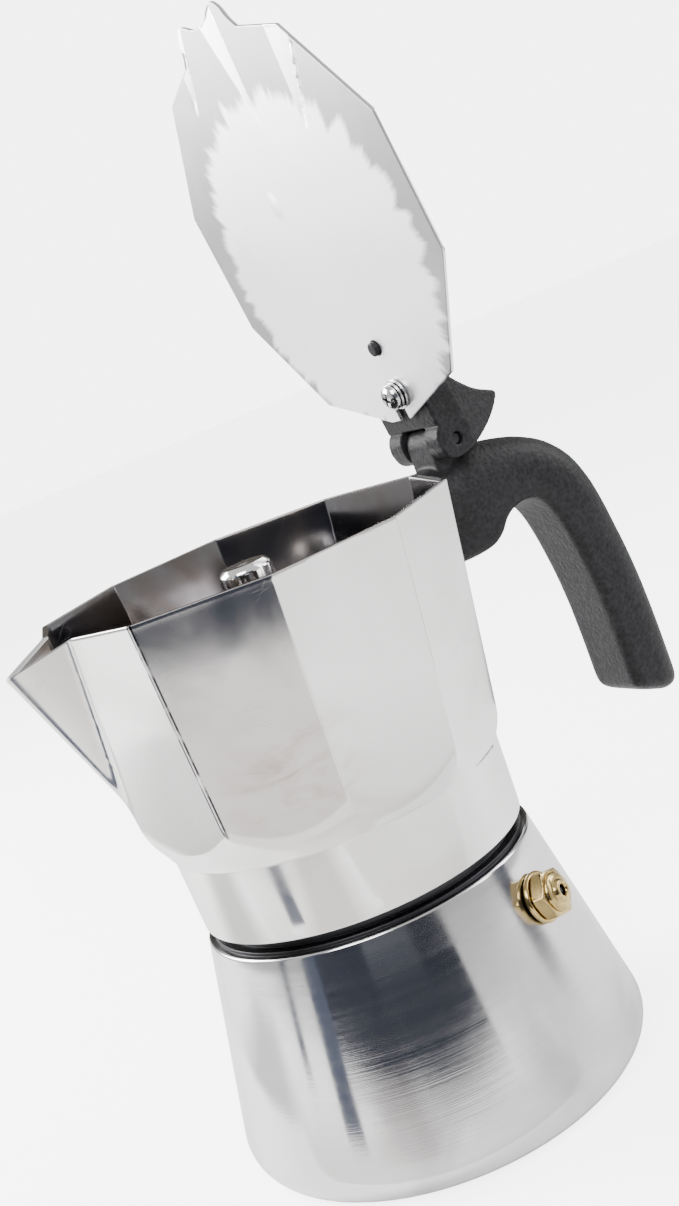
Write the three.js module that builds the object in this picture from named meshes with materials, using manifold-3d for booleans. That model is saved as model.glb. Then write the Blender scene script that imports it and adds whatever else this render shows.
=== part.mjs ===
// Moka pot: a ten-sided stovetop coffee maker, its lid open, in millimetres, +Z up.
// The origin is the middle of the base. +X points to the handle and -X to the spout.
import * as THREE from "three";
import { ConvexGeometry } from "three/addons/geometries/ConvexGeometry.js";
import { mergeVertices } from "three/addons/utils/BufferGeometryUtils.js";
import Module from "manifold-3d";

const wasm = await Module();
wasm.setup();

// Clearances
const restGap = 0.3; // between a piece and what it rests on or sits in
const threadClearance = 0.4; // radial, between the neck and the collar
const basketClearance = 0.5; // radial, between the basket and the neck
const pinClearance = 0.15; // radial, around the hinge pin
const knuckleClearance = 0.5; // each side of the hinge knuckle

// Boiler
const boilerBaseRadius = 55; // where the cone would meet the floor, before its round edge
const boilerTopRadius = 42.3;
const boilerHeight = 60.8; // up to the shoulder
const boilerEdgeRadius = 8;
const boilerWall = 2.6;
const boilerFloor = 3.2;
const neckRadius = 38.2;
const neckHeight = 14.2; // shoulder to the rim of the neck
const ledgeRadius = 40.6; // small step between shoulder and neck
const ledgeHeight = 0.9;

// Funnel
const flangeThickness = 0.8;
const basketWall = 0.8;
const basketDepth = 24;
const basketConeDrop = 7; // height of the cone under the basket
const stemRadius = 5;
const stemWall = 0.7;
const stemSocket = 6; // how far the stem reaches up into the basket's neck
const stemFloorGap = 4.5; // under the stem's open end
const strainerThickness = 0.7;

// Seal and filter
const gasketThickness = 2.6;
const gasketWidth = 9;
const filterThickness = 0.8;

// Upper chamber
const sides = 10;
const collarRadius = 41.7; // at its lower edge
const collarTopRadius = 42.4;
const collarGap = 3.55; // bare neck between the shoulder and the collar
const collarHeight = 19.15;
const bevelHeight = 6.4; // turned bevel between the collar and the foot of the flat sides
const bevelSlope = 0.54; // outward over upward
const facetFootRadius = 46.5; // corner radius at the foot of the flat sides
const facetFootShift = 1.8; // how far the foot stands toward the spout
const facetHeight = 56.4;
const rimRadius = 53.1; // corner radius at the rim
const chamberWall = 1.6;
const chamberFloor = 3;
const floorRise = 3; // the floor's cone, edge to column
const spoutReach = 11.8; // beyond the corner at the rim
const spoutDrop = 3.95; // tip below the rim
const spoutDepth = 44.5; // foot of the spout below the rim
const spoutHalfWidth = 10.6;
const spoutWall = 1.5;

// Lug that carries the handle
const lugHalfWidth = 3.2;
const lugReach = 8;
const lugTop = 8; // below the rim
const lugBottom = 23.6; // below the rim

// Column and its cap
const columnFootRadius = 9.5;
const columnRadius = 5.2;
const columnBore = 3.2;
const columnConeHeight = 17;
const columnNeckRadius = 4.3;
const capRadius = 6.7;
const capHeight = 9.4;
const capRoof = 2.2;
const capDepthBelowRim = 2.3; // top of the cap below the rim
const capSlotWidth = 3.2;
const capSlotHeight = 2.6;

// Hinge, placed from the rim's corner at the handle
const hingeOut = 8.2;
const hingeUp = 5.4;
const pinRadius = 1.5;
const knuckleRadius = 4.6;
const knuckleHalfWidth = 5.5;
const lidOpenAngle = 82.4; // degrees from closed

// Handle, its outline placed from the rim's corner
const handleWidth = 19;
const handleEdge = 2.4;
const hingeRecess = 6.2; // hollow in the top of the handle, around the hinge
const handleScrewRadius = 1.5;
const handleScrewHead = 2.6;
const handleScrewHeadHeight = 2;
const handleScrewDrop = 21; // below the rim
const handleScrewSeat = 12.2; // seat of its head, out from the rim's corner
const handleScrewTip = 1.5; // its inner end, out from the chamber's corner behind it

// Lid
const lidOverhang = 0.7;
const lidThickness = 1;
const lidGap = 0.4; // above the rim
const lidCornerCut = 1.6; // taken off the corner at the hinge
// Half of the two-lobed tongue over the spout: past the lid's corner, and across
const tongueOutline = [
  [-5, 15.6], [-2.6, 13.9], [0.8, 12.4], [2.7, 10.4], [3, 8.6], [2.2, 6.6], [1, 4.4], [0.5, 2.2], [0.3, 0],
];

// Lever, its outline placed from the hinge with the lid closed
const leverWidth = 25;
const leverEdge = 0.5;
const leverTipWidth = 17;
const lidScrewBack = 16.2; // in from the hinge
const fixingAside = 5.2; // lid screw and peg, to the right-hand side of the lid
const lidScrewRadius = 1.6;
const lidScrewHead = 3.4;
const lidScrewHeadHeight = 1.9;
const lidScrewLength = 10;
const lidSlotHalfWidth = 2.4; // open slot between the screw and the lid's edge
const lidSlotAside = 1.8;
const lidSlotLength = 14; // in from the hinge
const washerRadius = 4;
const washerThickness = 0.7;
const springWasherRadius = 3.6;
const springWasherThickness = 0.7;
const springWasherSplit = 0.8;
const pegBack = 28.8; // in from the hinge
const pegRadius = 1.9;
const pegLength = 2.4;

// Safety valve, placed from the shoulder
const valveDrop = 12.4; // below the shoulder
const valveTurn = -61.6; // degrees round from the handle
const valveWasherRadius = 6.3;
const valveWasherThickness = 1.4;
const valveShankRadius = 3.6;
const valveShankInside = 2.4; // past the boiler's wall
const valveHexWidth = 10.6; // across flats
const valveHexHeight = 3.5;
const valveCapWidth = 7.2; // across flats
const valveCapHeight = 1.8;
const valveNoseHeight = 1.1;
const valveBore = 2.6;
const valveOrifice = 1;
const valveSeatThickness = 1.6;
const poppetRadius = 2.15;
const poppetThickness = 1;
const valveRodRadius = 0.8;
const valveRodShort = 0.5; // rod's end inside the nose
const valveSpringWire = 0.25; // radius of the wire
const valveSpringRadius = 1.6; // to the middle of the wire
const valveSpringTurns = 5;

// Heights and places worked out from the sizes above
const neckTop = boilerHeight + neckHeight;
const flangeBottom = neckTop + restGap;
const gasketBottom = flangeBottom + flangeThickness + restGap;
const filterBottom = gasketBottom + gasketThickness + restGap;
const seatHeight = filterBottom + filterThickness + restGap;
const floorTop = seatHeight + chamberFloor;
const collarBottom = boilerHeight + collarGap;
const collarTop = collarBottom + collarHeight;
const facetFoot = collarTop + bevelHeight;
const rimHeight = facetFoot + facetHeight;
const collarBore = neckRadius + threadClearance;
const neckBore = neckRadius - boilerWall;
const coneSlope = (boilerBaseRadius - boilerTopRadius) / boilerHeight;
const facetSlope = (rimRadius - facetFootRadius) / facetHeight;
const facetLean = facetFootShift / facetHeight;
const flatRatio = Math.cos(Math.PI / sides); // flat's distance over corner's distance
const hinge = new THREE.Vector3(rimRadius + hingeOut, 0, rimHeight + hingeUp);

const metal = { color: 0xc9cbcd, roughness: 0.24, metalness: 1 };
const spunMetal = { color: 0xbfc2c4, roughness: 0.4, metalness: 1 };
const brass = { color: 0xc9a24e, roughness: 0.28, metalness: 1 };
const steel = { color: 0xd4d4d2, roughness: 0.18, metalness: 1 };
const plastic = { color: 0x333338, roughness: 0.62, metalness: 0 };
const rubber = { color: 0xe6e4dc, roughness: 0.6, metalness: 0 };

// A closed geometry as a solid that can be cut and joined.
function solid(geometry) {
  const bare = geometry.clone();
  bare.deleteAttribute("normal");
  bare.deleteAttribute("uv");
  const merged = mergeVertices(bare, 1e-5);
  const index = merged.index.array;
  const corners = [];
  for (let i = 0; i < index.length; i += 3) {
    const [a, b, c] = index.subarray(i, i + 3);
    if (a !== b && b !== c && c !== a) corners.push(a, b, c);
  }
  return new wasm.Manifold(new wasm.Mesh({
    numProp: 3,
    vertProperties: new Float32Array(merged.attributes.position.array),
    triVerts: new Uint32Array(corners),
  }));
}

function geometryOf(shape) {
  const mesh = shape.getMesh();
  const geometry = new THREE.BufferGeometry();
  geometry.setAttribute("position", new THREE.BufferAttribute(mesh.vertProperties, 3));
  geometry.setIndex(new THREE.BufferAttribute(mesh.triVerts, 1));
  geometry.computeVertexNormals();
  return geometry;
}

// A profile of [radius, height] points, anticlockwise, turned about Z.
function turned(profile, segments) {
  const points = profile.map(([r, z]) => new THREE.Vector2(r, z));
  return solid(new THREE.LatheGeometry(points, segments).rotateX(Math.PI / 2));
}

function ring(inner, outer, bottom, top, segments) {
  const profile = [[inner, bottom], [outer, bottom], [outer, top], [inner, top], [inner, bottom]];
  return turned(profile, segments);
}

function rod(radius, bottom, top, segments) {
  return turned([[0, bottom], [radius, bottom], [radius, top], [0, top]], segments);
}

// A regular prism or frustum whose corners lie at whole turns of its angle from +X.
function frustum(count, bottomRadius, topRadius, bottom, top) {
  const geometry = new THREE.CylinderGeometry(topRadius, bottomRadius, top - bottom, count);
  geometry.rotateX(Math.PI / 2).rotateZ(Math.PI / 2).translate(0, 0, (bottom + top) / 2);
  return solid(geometry);
}

function hexagon(acrossFlats, bottom, top) {
  const corner = acrossFlats / 2 / Math.cos(Math.PI / 6);
  return frustum(6, corner, corner, bottom, top);
}

function box(x0, x1, y0, y1, z0, z1) {
  const geometry = new THREE.BoxGeometry(x1 - x0, y1 - y0, z1 - z0);
  return solid(geometry.translate((x0 + x1) / 2, (y0 + y1) / 2, (z0 + z1) / 2));
}

function hull(points) {
  return solid(new ConvexGeometry(points));
}

// An outline in the XZ plane given a width along Y, with its edges rounded by `edge`.
function slab(shape, width, edge, edgeSteps, curveSegments) {
  const geometry = new THREE.ExtrudeGeometry(shape, {
    depth: width - 2 * edge,
    bevelEnabled: edge > 0,
    bevelThickness: edge,
    bevelSize: edge,
    bevelOffset: -edge,
    bevelSegments: edgeSteps,
    curveSegments,
  });
  return solid(geometry.translate(0, 0, edge - width / 2).rotateX(Math.PI / 2));
}

// A pin along Y through [x, z].
function crossPin(radius, halfLength, x, z, segments) {
  return rod(radius, -halfLength, halfLength, segments).rotate([90, 0, 0]).translate([x, 0, z]);
}

// A pin along X through z, from x0 to x1.
function lengthPin(radius, x0, x1, z, segments) {
  return rod(radius, x0, x1, segments).rotate([0, 90, 0]).translate([0, 0, z]);
}

function shapeThrough(outline) {
  const shape = new THREE.Shape();
  outline(shape);
  return shape;
}

const spline = (shape, points) => shape.splineThru(points.map(([x, z]) => new THREE.Vector2(x, z)));

const pot = new THREE.Group();

function addPiece(parent, name, shape, finish) {
  const mesh = new THREE.Mesh(geometryOf(shape), new THREE.MeshStandardMaterial(finish));
  mesh.name = name;
  parent.add(mesh);
}

// The valve sits square to the boiler's cone, its own +Z pointing out.
const valveHeight = boilerHeight - valveDrop;
const valveTilt = Math.atan(coneSlope);
const valveAngle = THREE.MathUtils.degToRad(valveTurn);
const valveAxis = new THREE.Vector3(
  Math.cos(valveTilt) * Math.cos(valveAngle),
  Math.cos(valveTilt) * Math.sin(valveAngle),
  Math.sin(valveTilt),
);
const valveFoot = new THREE.Vector3(Math.cos(valveAngle), Math.sin(valveAngle), 0)
  .multiplyScalar(boilerBaseRadius - coneSlope * valveHeight)
  .setZ(valveHeight);
const valve = new THREE.Group();
valve.position.copy(valveFoot);
valve.quaternion.setFromUnitVectors(new THREE.Vector3(0, 0, 1), valveAxis);
pot.add(valve);

// One side of the boiler's wall, from the floor to the shoulder, `inset` inside the outer face.
function coneWall(inset, bottom) {
  const tilt = Math.atan(coneSlope);
  const edge = Math.max(boilerEdgeRadius - inset, 0.5);
  const slide = inset / Math.cos(tilt);
  const radiusAt = (z) => boilerBaseRadius - slide - coneSlope * z;
  const centreHeight = bottom + edge;
  const centreRadius = radiusAt(centreHeight) - edge / Math.cos(tilt);
  const steps = 5;
  const arc = [];
  for (let i = 0; i <= steps; i += 1) {
    const angle = THREE.MathUtils.lerp(-Math.PI / 2, tilt, i / steps);
    arc.push([centreRadius + edge * Math.cos(angle), centreHeight + edge * Math.sin(angle)]);
  }
  return { arc, radiusAt };
}

function makeBoiler() {
  const outside = coneWall(0, 0);
  const inside = coneWall(boilerWall, boilerFloor);
  const underShoulder = boilerHeight - boilerWall;
  const shell = turned([
    [0, 0],
    ...outside.arc,
    [boilerTopRadius, boilerHeight],
    [ledgeRadius, boilerHeight],
    [ledgeRadius, boilerHeight + ledgeHeight],
    [neckRadius, boilerHeight + ledgeHeight],
    [neckRadius, neckTop],
    [neckBore, neckTop],
    [neckBore, underShoulder],
    [inside.radiusAt(underShoulder), underShoulder],
    ...inside.arc.reverse(),
    [0, boilerFloor],
  ], 56);
  const hole = rod(valveShankRadius + restGap, -3 * boilerWall, 2 * boilerWall, 20);
  return shell.subtract(placeLike(hole, valve));
}

// A solid carried to where a group of the pot stands.
function placeLike(shape, group) {
  group.updateMatrix();
  return shape.transform(group.matrix.elements);
}

addPiece(pot, "boiler", makeBoiler(), metal);

// Funnel: basket with its flange on the neck's rim, strainer and stem
const basketRadius = neckBore - basketClearance;
const basketBottom = flangeBottom + flangeThickness - basketDepth;
const funnelNeckBottom = basketBottom - basketConeDrop - stemSocket;
const funnelNeckRadius = stemRadius + restGap;
const basket = turned([
  [funnelNeckRadius, funnelNeckBottom],
  [funnelNeckRadius + basketWall, funnelNeckBottom],
  [funnelNeckRadius + basketWall, basketBottom - basketConeDrop],
  [basketRadius, basketBottom],
  [basketRadius, flangeBottom],
  [neckRadius, flangeBottom],
  [neckRadius, flangeBottom + flangeThickness],
  [basketRadius - basketWall, flangeBottom + flangeThickness],
  [basketRadius - basketWall, basketBottom + basketWall],
  [funnelNeckRadius, basketBottom - basketConeDrop + basketWall],
  [funnelNeckRadius, funnelNeckBottom],
], 48);
addPiece(pot, "funnel_basket", basket, spunMetal);

const stemTop = basketBottom - basketConeDrop - restGap;
const stem = ring(stemRadius - stemWall, stemRadius, boilerFloor + stemFloorGap, stemTop, 28);
addPiece(pot, "funnel_stem", stem, spunMetal);

// A round plate with rings of holes round its middle.
function perforatedPlate(radius, bottom, thickness, holeRadius, rings, pitch) {
  let plate = rod(radius, bottom, bottom + thickness, 48);
  for (let n = 0; n <= rings; n += 1) {
    const count = Math.max(6 * n, 1);
    for (let i = 0; i < count; i += 1) {
      const turn = (2 * Math.PI * i) / count;
      const hole = rod(holeRadius, bottom - thickness, bottom + 2 * thickness, 6);
      plate = plate.subtract(hole.translate([n * pitch * Math.cos(turn), n * pitch * Math.sin(turn), 0]));
    }
  }
  return plate;
}

const strainerRadius = basketRadius - basketWall - restGap;
const strainerBottom = basketBottom + basketWall + restGap;
const strainer = perforatedPlate(strainerRadius, strainerBottom, strainerThickness, 1.1, 3, 9);
addPiece(pot, "funnel_strainer", strainer, spunMetal);

// Gasket and filter plate under the upper chamber
const gasketRadius = collarBore - restGap;
const gasketBore = gasketRadius - gasketWidth;
const gasket = ring(gasketBore, gasketRadius, gasketBottom, gasketBottom + gasketThickness, 48);
addPiece(pot, "gasket", gasket, rubber);

const filter = perforatedPlate(gasketRadius - gasketWidth / 2, filterBottom, filterThickness, 1.1, 3, 8.6);
addPiece(pot, "filter_plate", filter, spunMetal);

// Where the corner that faces the handle stands at a height
const cornerX = (z) => rimRadius - (facetSlope + facetLean) * (rimHeight - z);

// Upper chamber: collar, turned bevel, ten flat sides, spout and handle lug in one casting
function flatSides(inset, bottom, top) {
  const cornerInset = inset / flatRatio;
  const corners = [bottom, top].flatMap((z) => Array.from({ length: sides }, (_, i) => {
    const down = rimHeight - z;
    const radius = rimRadius - cornerInset - facetSlope * down;
    const turn = (2 * Math.PI * i) / sides;
    return new THREE.Vector3(radius * Math.cos(turn) - facetLean * down, radius * Math.sin(turn), z);
  }));
  return hull(corners);
}

function spoutPoints(inset) {
  const rootX = -(rimRadius - spoutHalfWidth * Math.tan(Math.PI / sides));
  const footHeight = rimHeight - spoutDepth;
  const tip = new THREE.Vector3(-rimRadius - spoutReach, 0, rimHeight - spoutDrop);
  const foot = new THREE.Vector3((facetSlope - facetLean) * spoutDepth - rimRadius, 0, footHeight);
  const root = new THREE.Vector3(rootX, spoutHalfWidth, rimHeight);
  const ridge = tip.clone().sub(foot).normalize();
  const inward = root.clone().sub(foot).cross(ridge).normalize();
  if (inward.y > 0) inward.negate();
  const across = new THREE.Vector3(-ridge.z, 0, ridge.x);
  if (across.x < 0) across.negate();
  const ridgeShift = across.clone().multiplyScalar(inset / across.dot(inward));
  root.addScaledVector(inward, inset);
  return [tip.add(ridgeShift), foot.add(ridgeShift), root, root.clone().setY(-root.y)];
}

function makeChamber() {
  const top = rimHeight + 10;
  const bevelRadius = (z) => collarTopRadius + bevelSlope * (z - collarTop);
  const turnedOutside = turned([
    [0, collarTop - 1],
    [collarTopRadius - bevelSlope, collarTop - 1],
    [bevelRadius(top), top],
    [0, top],
  ], 56);
  const collar = frustum(56, collarRadius, collarTopRadius, collarBottom, collarTop);
  const spoutRoot = spoutPoints(0);
  const spout = hull([...spoutRoot, ...spoutRoot.map((p) => p.clone().setX(p.x + chamberWall / 2))]);
  const lug = box(
    rimRadius - 8,
    rimRadius + lugReach - facetSlope * lugTop,
    -lugHalfWidth,
    lugHalfWidth,
    rimHeight - lugBottom,
    rimHeight - lugTop,
  );
  const outside = flatSides(0, collarTop - 1, rimHeight).intersect(turnedOutside).add(collar);
  const spoutTrimmed = spout.intersect(box(-100, 0, -50, 50, 0, rimHeight));

  const columnHole = 6.3;
  const turnedInside = turned([
    [0, floorTop + floorRise],
    [columnFootRadius + restGap, floorTop + floorRise],
    [collarRadius - chamberWall, floorTop],
    [collarTopRadius - chamberWall, collarTop],
    [bevelRadius(top) - chamberWall, top],
    [0, top],
  ], 56);
  const inside = flatSides(chamberWall, floorTop - 2, top).intersect(turnedInside);
  const channelRoot = spoutPoints(spoutWall);
  const channel = hull([
    ...channelRoot,
    ...channelRoot.map((p) => p.clone().setX(p.x + 14)),
    ...channelRoot.map((p) => p.clone().setZ(p.z + 20)),
  ]);
  const underside = turned([
    [0, collarBottom - 1],
    [collarBore, collarBottom - 1],
    [collarBore, seatHeight],
    [collarBore - gasketWidth / 2, seatHeight],
    [columnHole, seatHeight + floorRise],
    [columnHole, floorTop + floorRise + 1],
    [0, floorTop + floorRise + 1],
  ], 56);
  const screwHole = lengthPin(
    handleScrewRadius + restGap,
    cornerX(rimHeight - handleScrewDrop) + handleScrewTip - restGap,
    rimRadius + 2 * lugReach,
    rimHeight - handleScrewDrop,
    16,
  );
  return outside.add(spoutTrimmed).add(lug).subtract(inside).subtract(channel)
    .subtract(underside).subtract(screwHole);
}

addPiece(pot, "upper_chamber", makeChamber(), metal);

// Column, pressed into the chamber's floor, and its cap
const columnFoot = floorTop + floorRise + restGap;
const capTop = rimHeight - capDepthBelowRim;
const capBottom = capTop - capHeight;
const column = turned([
  [columnBore, seatHeight + floorRise],
  [6, seatHeight + floorRise],
  [6, columnFoot],
  [columnFootRadius, columnFoot],
  [columnFootRadius, columnFoot + 1.5],
  [columnRadius, columnFoot + columnConeHeight],
  [columnRadius, capBottom - restGap],
  [columnNeckRadius, capBottom - restGap],
  [columnNeckRadius, capBottom + capHeight / 3],
  [columnBore, capBottom + capHeight / 3],
  [columnBore, seatHeight + floorRise],
], 32);
addPiece(pot, "column", column, metal);

function makeCap() {
  const hollow = columnNeckRadius + restGap;
  const shell = turned([
    [hollow, capBottom],
    [columnRadius, capBottom],
    [capRadius, capBottom + capHeight / 3],
    [capRadius, capTop - 2],
    [capRadius - 1.4, capTop - 0.4],
    [0, capTop],
    [0, capTop - capRoof],
    [hollow, capTop - capRoof],
    [hollow, capBottom],
  ], 32);
  const slotTop = capTop - capRoof - 0.4;
  const half = capSlotWidth / 2;
  const slotX = box(-20, 20, -half, half, slotTop - capSlotHeight, slotTop);
  const slotY = box(-half, half, -20, 20, slotTop - capSlotHeight, slotTop);
  return shell.subtract(slotX).subtract(slotY);
}

addPiece(pot, "column_cap", makeCap(), metal);

// Handle: a bowed grip hanging from a boss at the rim's corner
function makeHandle() {
  const at = ([x, z]) => [rimRadius + x, rimHeight + z];
  const outline = shapeThrough((s) => {
    s.moveTo(...at([-3.8, -24.6]));
    s.lineTo(...at([-2, -0.2]));
    s.lineTo(...at([6, -0.2]));
    s.lineTo(...at([13.2, 2.4]));
    spline(s, [
      [19.7, 0.9], [24.3, 0.1], [29.8, -1.5], [35, -3.9], [39.8, -7.6], [43.7, -12.8], [46.4, -18.6],
      [48, -25.3], [49.4, -33], [50.6, -41], [51.5, -50], [52, -60], [52.1, -70], [52, -79],
    ].map(at));
    spline(s, [[50.6, -81.8], [47.4, -82.8], [43, -81.5], [37.8, -78.4], [35.4, -74.6]].map(at));
    spline(s, [
      [35.4, -63], [35.3, -52], [34.6, -43], [33.4, -34.5], [32, -28], [30.6, -22.6], [27.6, -18.4],
      [23.4, -17.1], [19.3, -17.8], [16.2, -19.4],
    ].map(at));
    spline(s, [[14.2, -21.9], [10, -24.2], [5, -24.7], [-3.8, -24.6]].map(at));
  });
  const body = slab(outline, handleWidth, handleEdge, 3, 2);
  const recess = crossPin(hingeRecess, handleWidth, hinge.x, hinge.z, 32);
  const knuckleShape = shapeThrough((s) => {
    s.moveTo(hinge.x + knuckleRadius, rimHeight - 5);
    s.lineTo(hinge.x + knuckleRadius, hinge.z);
    s.absarc(hinge.x, hinge.z, knuckleRadius, 0, Math.PI, false);
    s.lineTo(hinge.x - knuckleRadius, rimHeight - 5);
  });
  const knuckle = slab(knuckleShape, 2 * knuckleHalfWidth, 0, 0, 12);
  const pinHole = crossPin(pinRadius + pinClearance, handleWidth, hinge.x, hinge.z, 24);
  const bodySpace = flatSides(-restGap, collarTop, rimHeight + 1);
  const lugSpace = box(
    0,
    rimRadius + lugReach - facetSlope * lugTop + restGap,
    -lugHalfWidth - restGap,
    lugHalfWidth + restGap,
    rimHeight - lugBottom - restGap,
    rimHeight - lugTop + restGap,
  );
  const screwHeight = rimHeight - handleScrewDrop;
  const screwSeat = rimRadius + handleScrewSeat;
  const screwHole = lengthPin(handleScrewRadius + restGap, rimRadius, screwSeat + 1, screwHeight, 16);
  const headSpace = lengthPin(handleScrewHead + restGap, screwSeat, screwSeat + 12, screwHeight, 20);
  return body.subtract(recess).add(knuckle).subtract(pinHole).subtract(bodySpace)
    .subtract(lugSpace).subtract(screwHole).subtract(headSpace);
}

addPiece(pot, "handle", makeHandle(), plastic);

function makeHandleScrew() {
  const height = rimHeight - handleScrewDrop;
  const seat = rimRadius + handleScrewSeat + restGap;
  const shank = lengthPin(handleScrewRadius, cornerX(height) + handleScrewTip, seat + 0.5, height, 14);
  const head = lengthPin(handleScrewHead, seat, seat + handleScrewHeadHeight, height, 20);
  const slotHalf = 0.4;
  const slotDepth = 0.9;
  const slot = box(
    seat + handleScrewHeadHeight - slotDepth,
    seat + handleScrewHeadHeight + 1,
    -handleScrewHead,
    handleScrewHead,
    height - slotHalf,
    height + slotHalf,
  );
  return shank.add(head).subtract(slot);
}

addPiece(pot, "handle_screw", makeHandleScrew(), steel);

addPiece(pot, "hinge_pin", crossPin(pinRadius, leverWidth / 2 - 1.2, hinge.x, hinge.z, 24), steel);

// Everything that swings with the lid is drawn closed, from the hinge, then turned open.
const lidAssembly = new THREE.Group();
lidAssembly.position.copy(hinge);
lidAssembly.rotation.y = THREE.MathUtils.degToRad(lidOpenAngle);
pot.add(lidAssembly);

const lidRadius = rimRadius + lidOverhang;
const lidBottom = lidGap - hingeUp;
const lidTop = lidBottom + lidThickness;
const lidMiddle = -hinge.x;
const leverBottom = lidTop + restGap;
const screwPlace = [-lidScrewBack, -fixingAside, 0];

function makeLid() {
  const top = lidTop;
  let plate = frustum(sides, lidRadius, lidRadius, lidBottom, top);
  const tongueShape = shapeThrough((s) => {
    const half = tongueOutline.map(([out, across]) => [-lidRadius - out, across]);
    s.moveTo(0, tongueOutline[0][1]);
    s.lineTo(...half[0]);
    spline(s, half.slice(1));
    spline(s, half.slice(0, -1).reverse().map(([x, y]) => [x, -y]));
    s.lineTo(0, -tongueOutline[0][1]);
  });
  const tongue = new THREE.ExtrudeGeometry(tongueShape, {
    depth: lidThickness,
    bevelEnabled: false,
    curveSegments: 2,
  });
  plate = plate.add(solid(tongue.translate(0, 0, lidBottom)));
  const cornerCut = box(lidRadius - lidCornerCut, lidRadius + 5, -20, 20, lidBottom - 1, top + 1);
  plate = plate.subtract(cornerCut).translate([lidMiddle, 0, 0]);
  const screwHole = rod(lidScrewRadius + restGap, lidBottom - 1, top + 1, 20).translate(screwPlace);
  const slot = box(
    -lidSlotLength,
    0,
    -lidSlotAside - lidSlotHalfWidth,
    -lidSlotAside + lidSlotHalfWidth,
    lidBottom - 1,
    top + 1,
  );
  const pegHole = rod(pegRadius + restGap, lidBottom - 1, top + 1, 20).translate([-pegBack, -fixingAside, 0]);
  return plate.subtract(screwHole).subtract(slot).subtract(pegHole);
}

addPiece(lidAssembly, "lid_plate", makeLid(), metal);

function makeLever() {
  const cheek = 5.5; // below the hinge, lid closed
  const outline = shapeThrough((s) => {
    s.moveTo(-pegBack - 3, leverBottom);
    s.lineTo(-5.6, leverBottom);
    s.lineTo(-5.6, -2.6);
    spline(s, [[-4.6, -4.2], [-2.6, 0.2 - cheek], [0, -cheek], [2.8, -4.6], [4.2, -2.6], [4.4, 0]]);
    spline(s, [[3.9, 3.4], [3.1, 6.4], [2, 9.6], [0.5, 12.9], [-1.3, 15.8], [-3.1, 18.1], [-4.6, 18.4]]);
    spline(s, [[-5.6, 16.2], [-7.6, 12.6], [-10.6, 9.3], [-15, 5.6], [-21, 2.2], [-27, leverBottom + 2.2]]);
    s.lineTo(-pegBack - 3, leverBottom + 1.8);
  });
  const blank = slab(outline, leverWidth, leverEdge, 2, 2);
  const half = leverWidth / 2;
  const tipHalf = leverTipWidth / 2;
  const planView = shapeThrough((s) => {
    s.moveTo(12, -half);
    s.lineTo(12, half);
    s.lineTo(-13, half);
    s.lineTo(-pegBack - 4, half * 0.5);
    s.lineTo(-pegBack - 4, -half * 0.5);
    s.lineTo(-13, -half);
  });
  const tall = new THREE.ExtrudeGeometry(planView, { depth: 60, bevelEnabled: false });
  const plan = solid(tall.translate(0, 0, -20));
  const endView = hull([-1, 1].flatMap((x) => [-1, 1].flatMap((side) => [
    new THREE.Vector3(60 * x, side * half, -20),
    new THREE.Vector3(60 * x, side * half, 4),
    new THREE.Vector3(60 * x, side * tipHalf, 19),
  ])));
  const pocketHalf = knuckleHalfWidth + knuckleClearance;
  const pocketRadius = knuckleRadius + knuckleClearance;
  const pocket = crossPin(pocketRadius, pocketHalf, 0, 0, 28)
    .add(box(-pocketRadius, 20, -pocketHalf, pocketHalf, -20, 0))
    .add(box(0, 20, -pocketHalf, pocketHalf, -20, pocketRadius));
  const pinHole = crossPin(pinRadius + pinClearance, leverWidth, 0, 0, 24);
  const screwHole = rod(lidScrewRadius + restGap, leverBottom - 1, leverBottom + lidScrewLength, 16)
    .translate(screwPlace);
  const peg = rod(pegRadius, lidBottom - (pegLength - lidThickness), leverBottom + 1, 16)
    .translate([-pegBack, -fixingAside, 0]);
  return blank.intersect(plan).intersect(endView).subtract(pocket).subtract(pinHole)
    .subtract(screwHole).add(peg);
}

addPiece(lidAssembly, "lid_lever", makeLever(), plastic);

// Fixing screw from under the lid, its split washer and flat washer
const washerTop = lidBottom - restGap;
const springWasherTop = washerTop - washerThickness - restGap;
const screwSeat = springWasherTop - springWasherThickness - restGap;
const washerHole = lidScrewRadius + restGap;
const flatWasher = ring(washerHole, washerRadius, washerTop - washerThickness, washerTop, 32);
addPiece(lidAssembly, "lid_washer", flatWasher.translate(screwPlace), steel);

const springWasherBottom = springWasherTop - springWasherThickness;
const splitRing = ring(washerHole, springWasherRadius, springWasherBottom, springWasherTop, 28)
  .subtract(box(0, 10, 0, springWasherSplit, -20, 0));
addPiece(lidAssembly, "lid_spring_washer", splitRing.translate(screwPlace), steel);

function makeLidScrew() {
  const headTop = screwSeat;
  const headBottom = headTop - lidScrewHeadHeight;
  const crossHalf = 0.45;
  const crossReach = 1.9;
  const crossDepth = 1.2;
  const body = turned([
    [0, headBottom],
    [lidScrewHead * 0.55, headBottom + 0.15],
    [lidScrewHead * 0.9, headBottom + 0.8],
    [lidScrewHead, headBottom + 1.5],
    [lidScrewHead, headTop],
    [lidScrewRadius, headTop],
    [lidScrewRadius, leverBottom + lidScrewLength - 1],
    [0, leverBottom + lidScrewLength - 1],
  ], 24);
  const crossTop = headBottom + crossDepth;
  const crossBottom = headBottom - 1;
  return body
    .subtract(box(-crossReach, crossReach, -crossHalf, crossHalf, crossBottom, crossTop))
    .subtract(box(-crossHalf, crossHalf, -crossReach, crossReach, crossBottom, crossTop))
    .translate(screwPlace);
}

addPiece(lidAssembly, "lid_screw", makeLidScrew(), steel);

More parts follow.
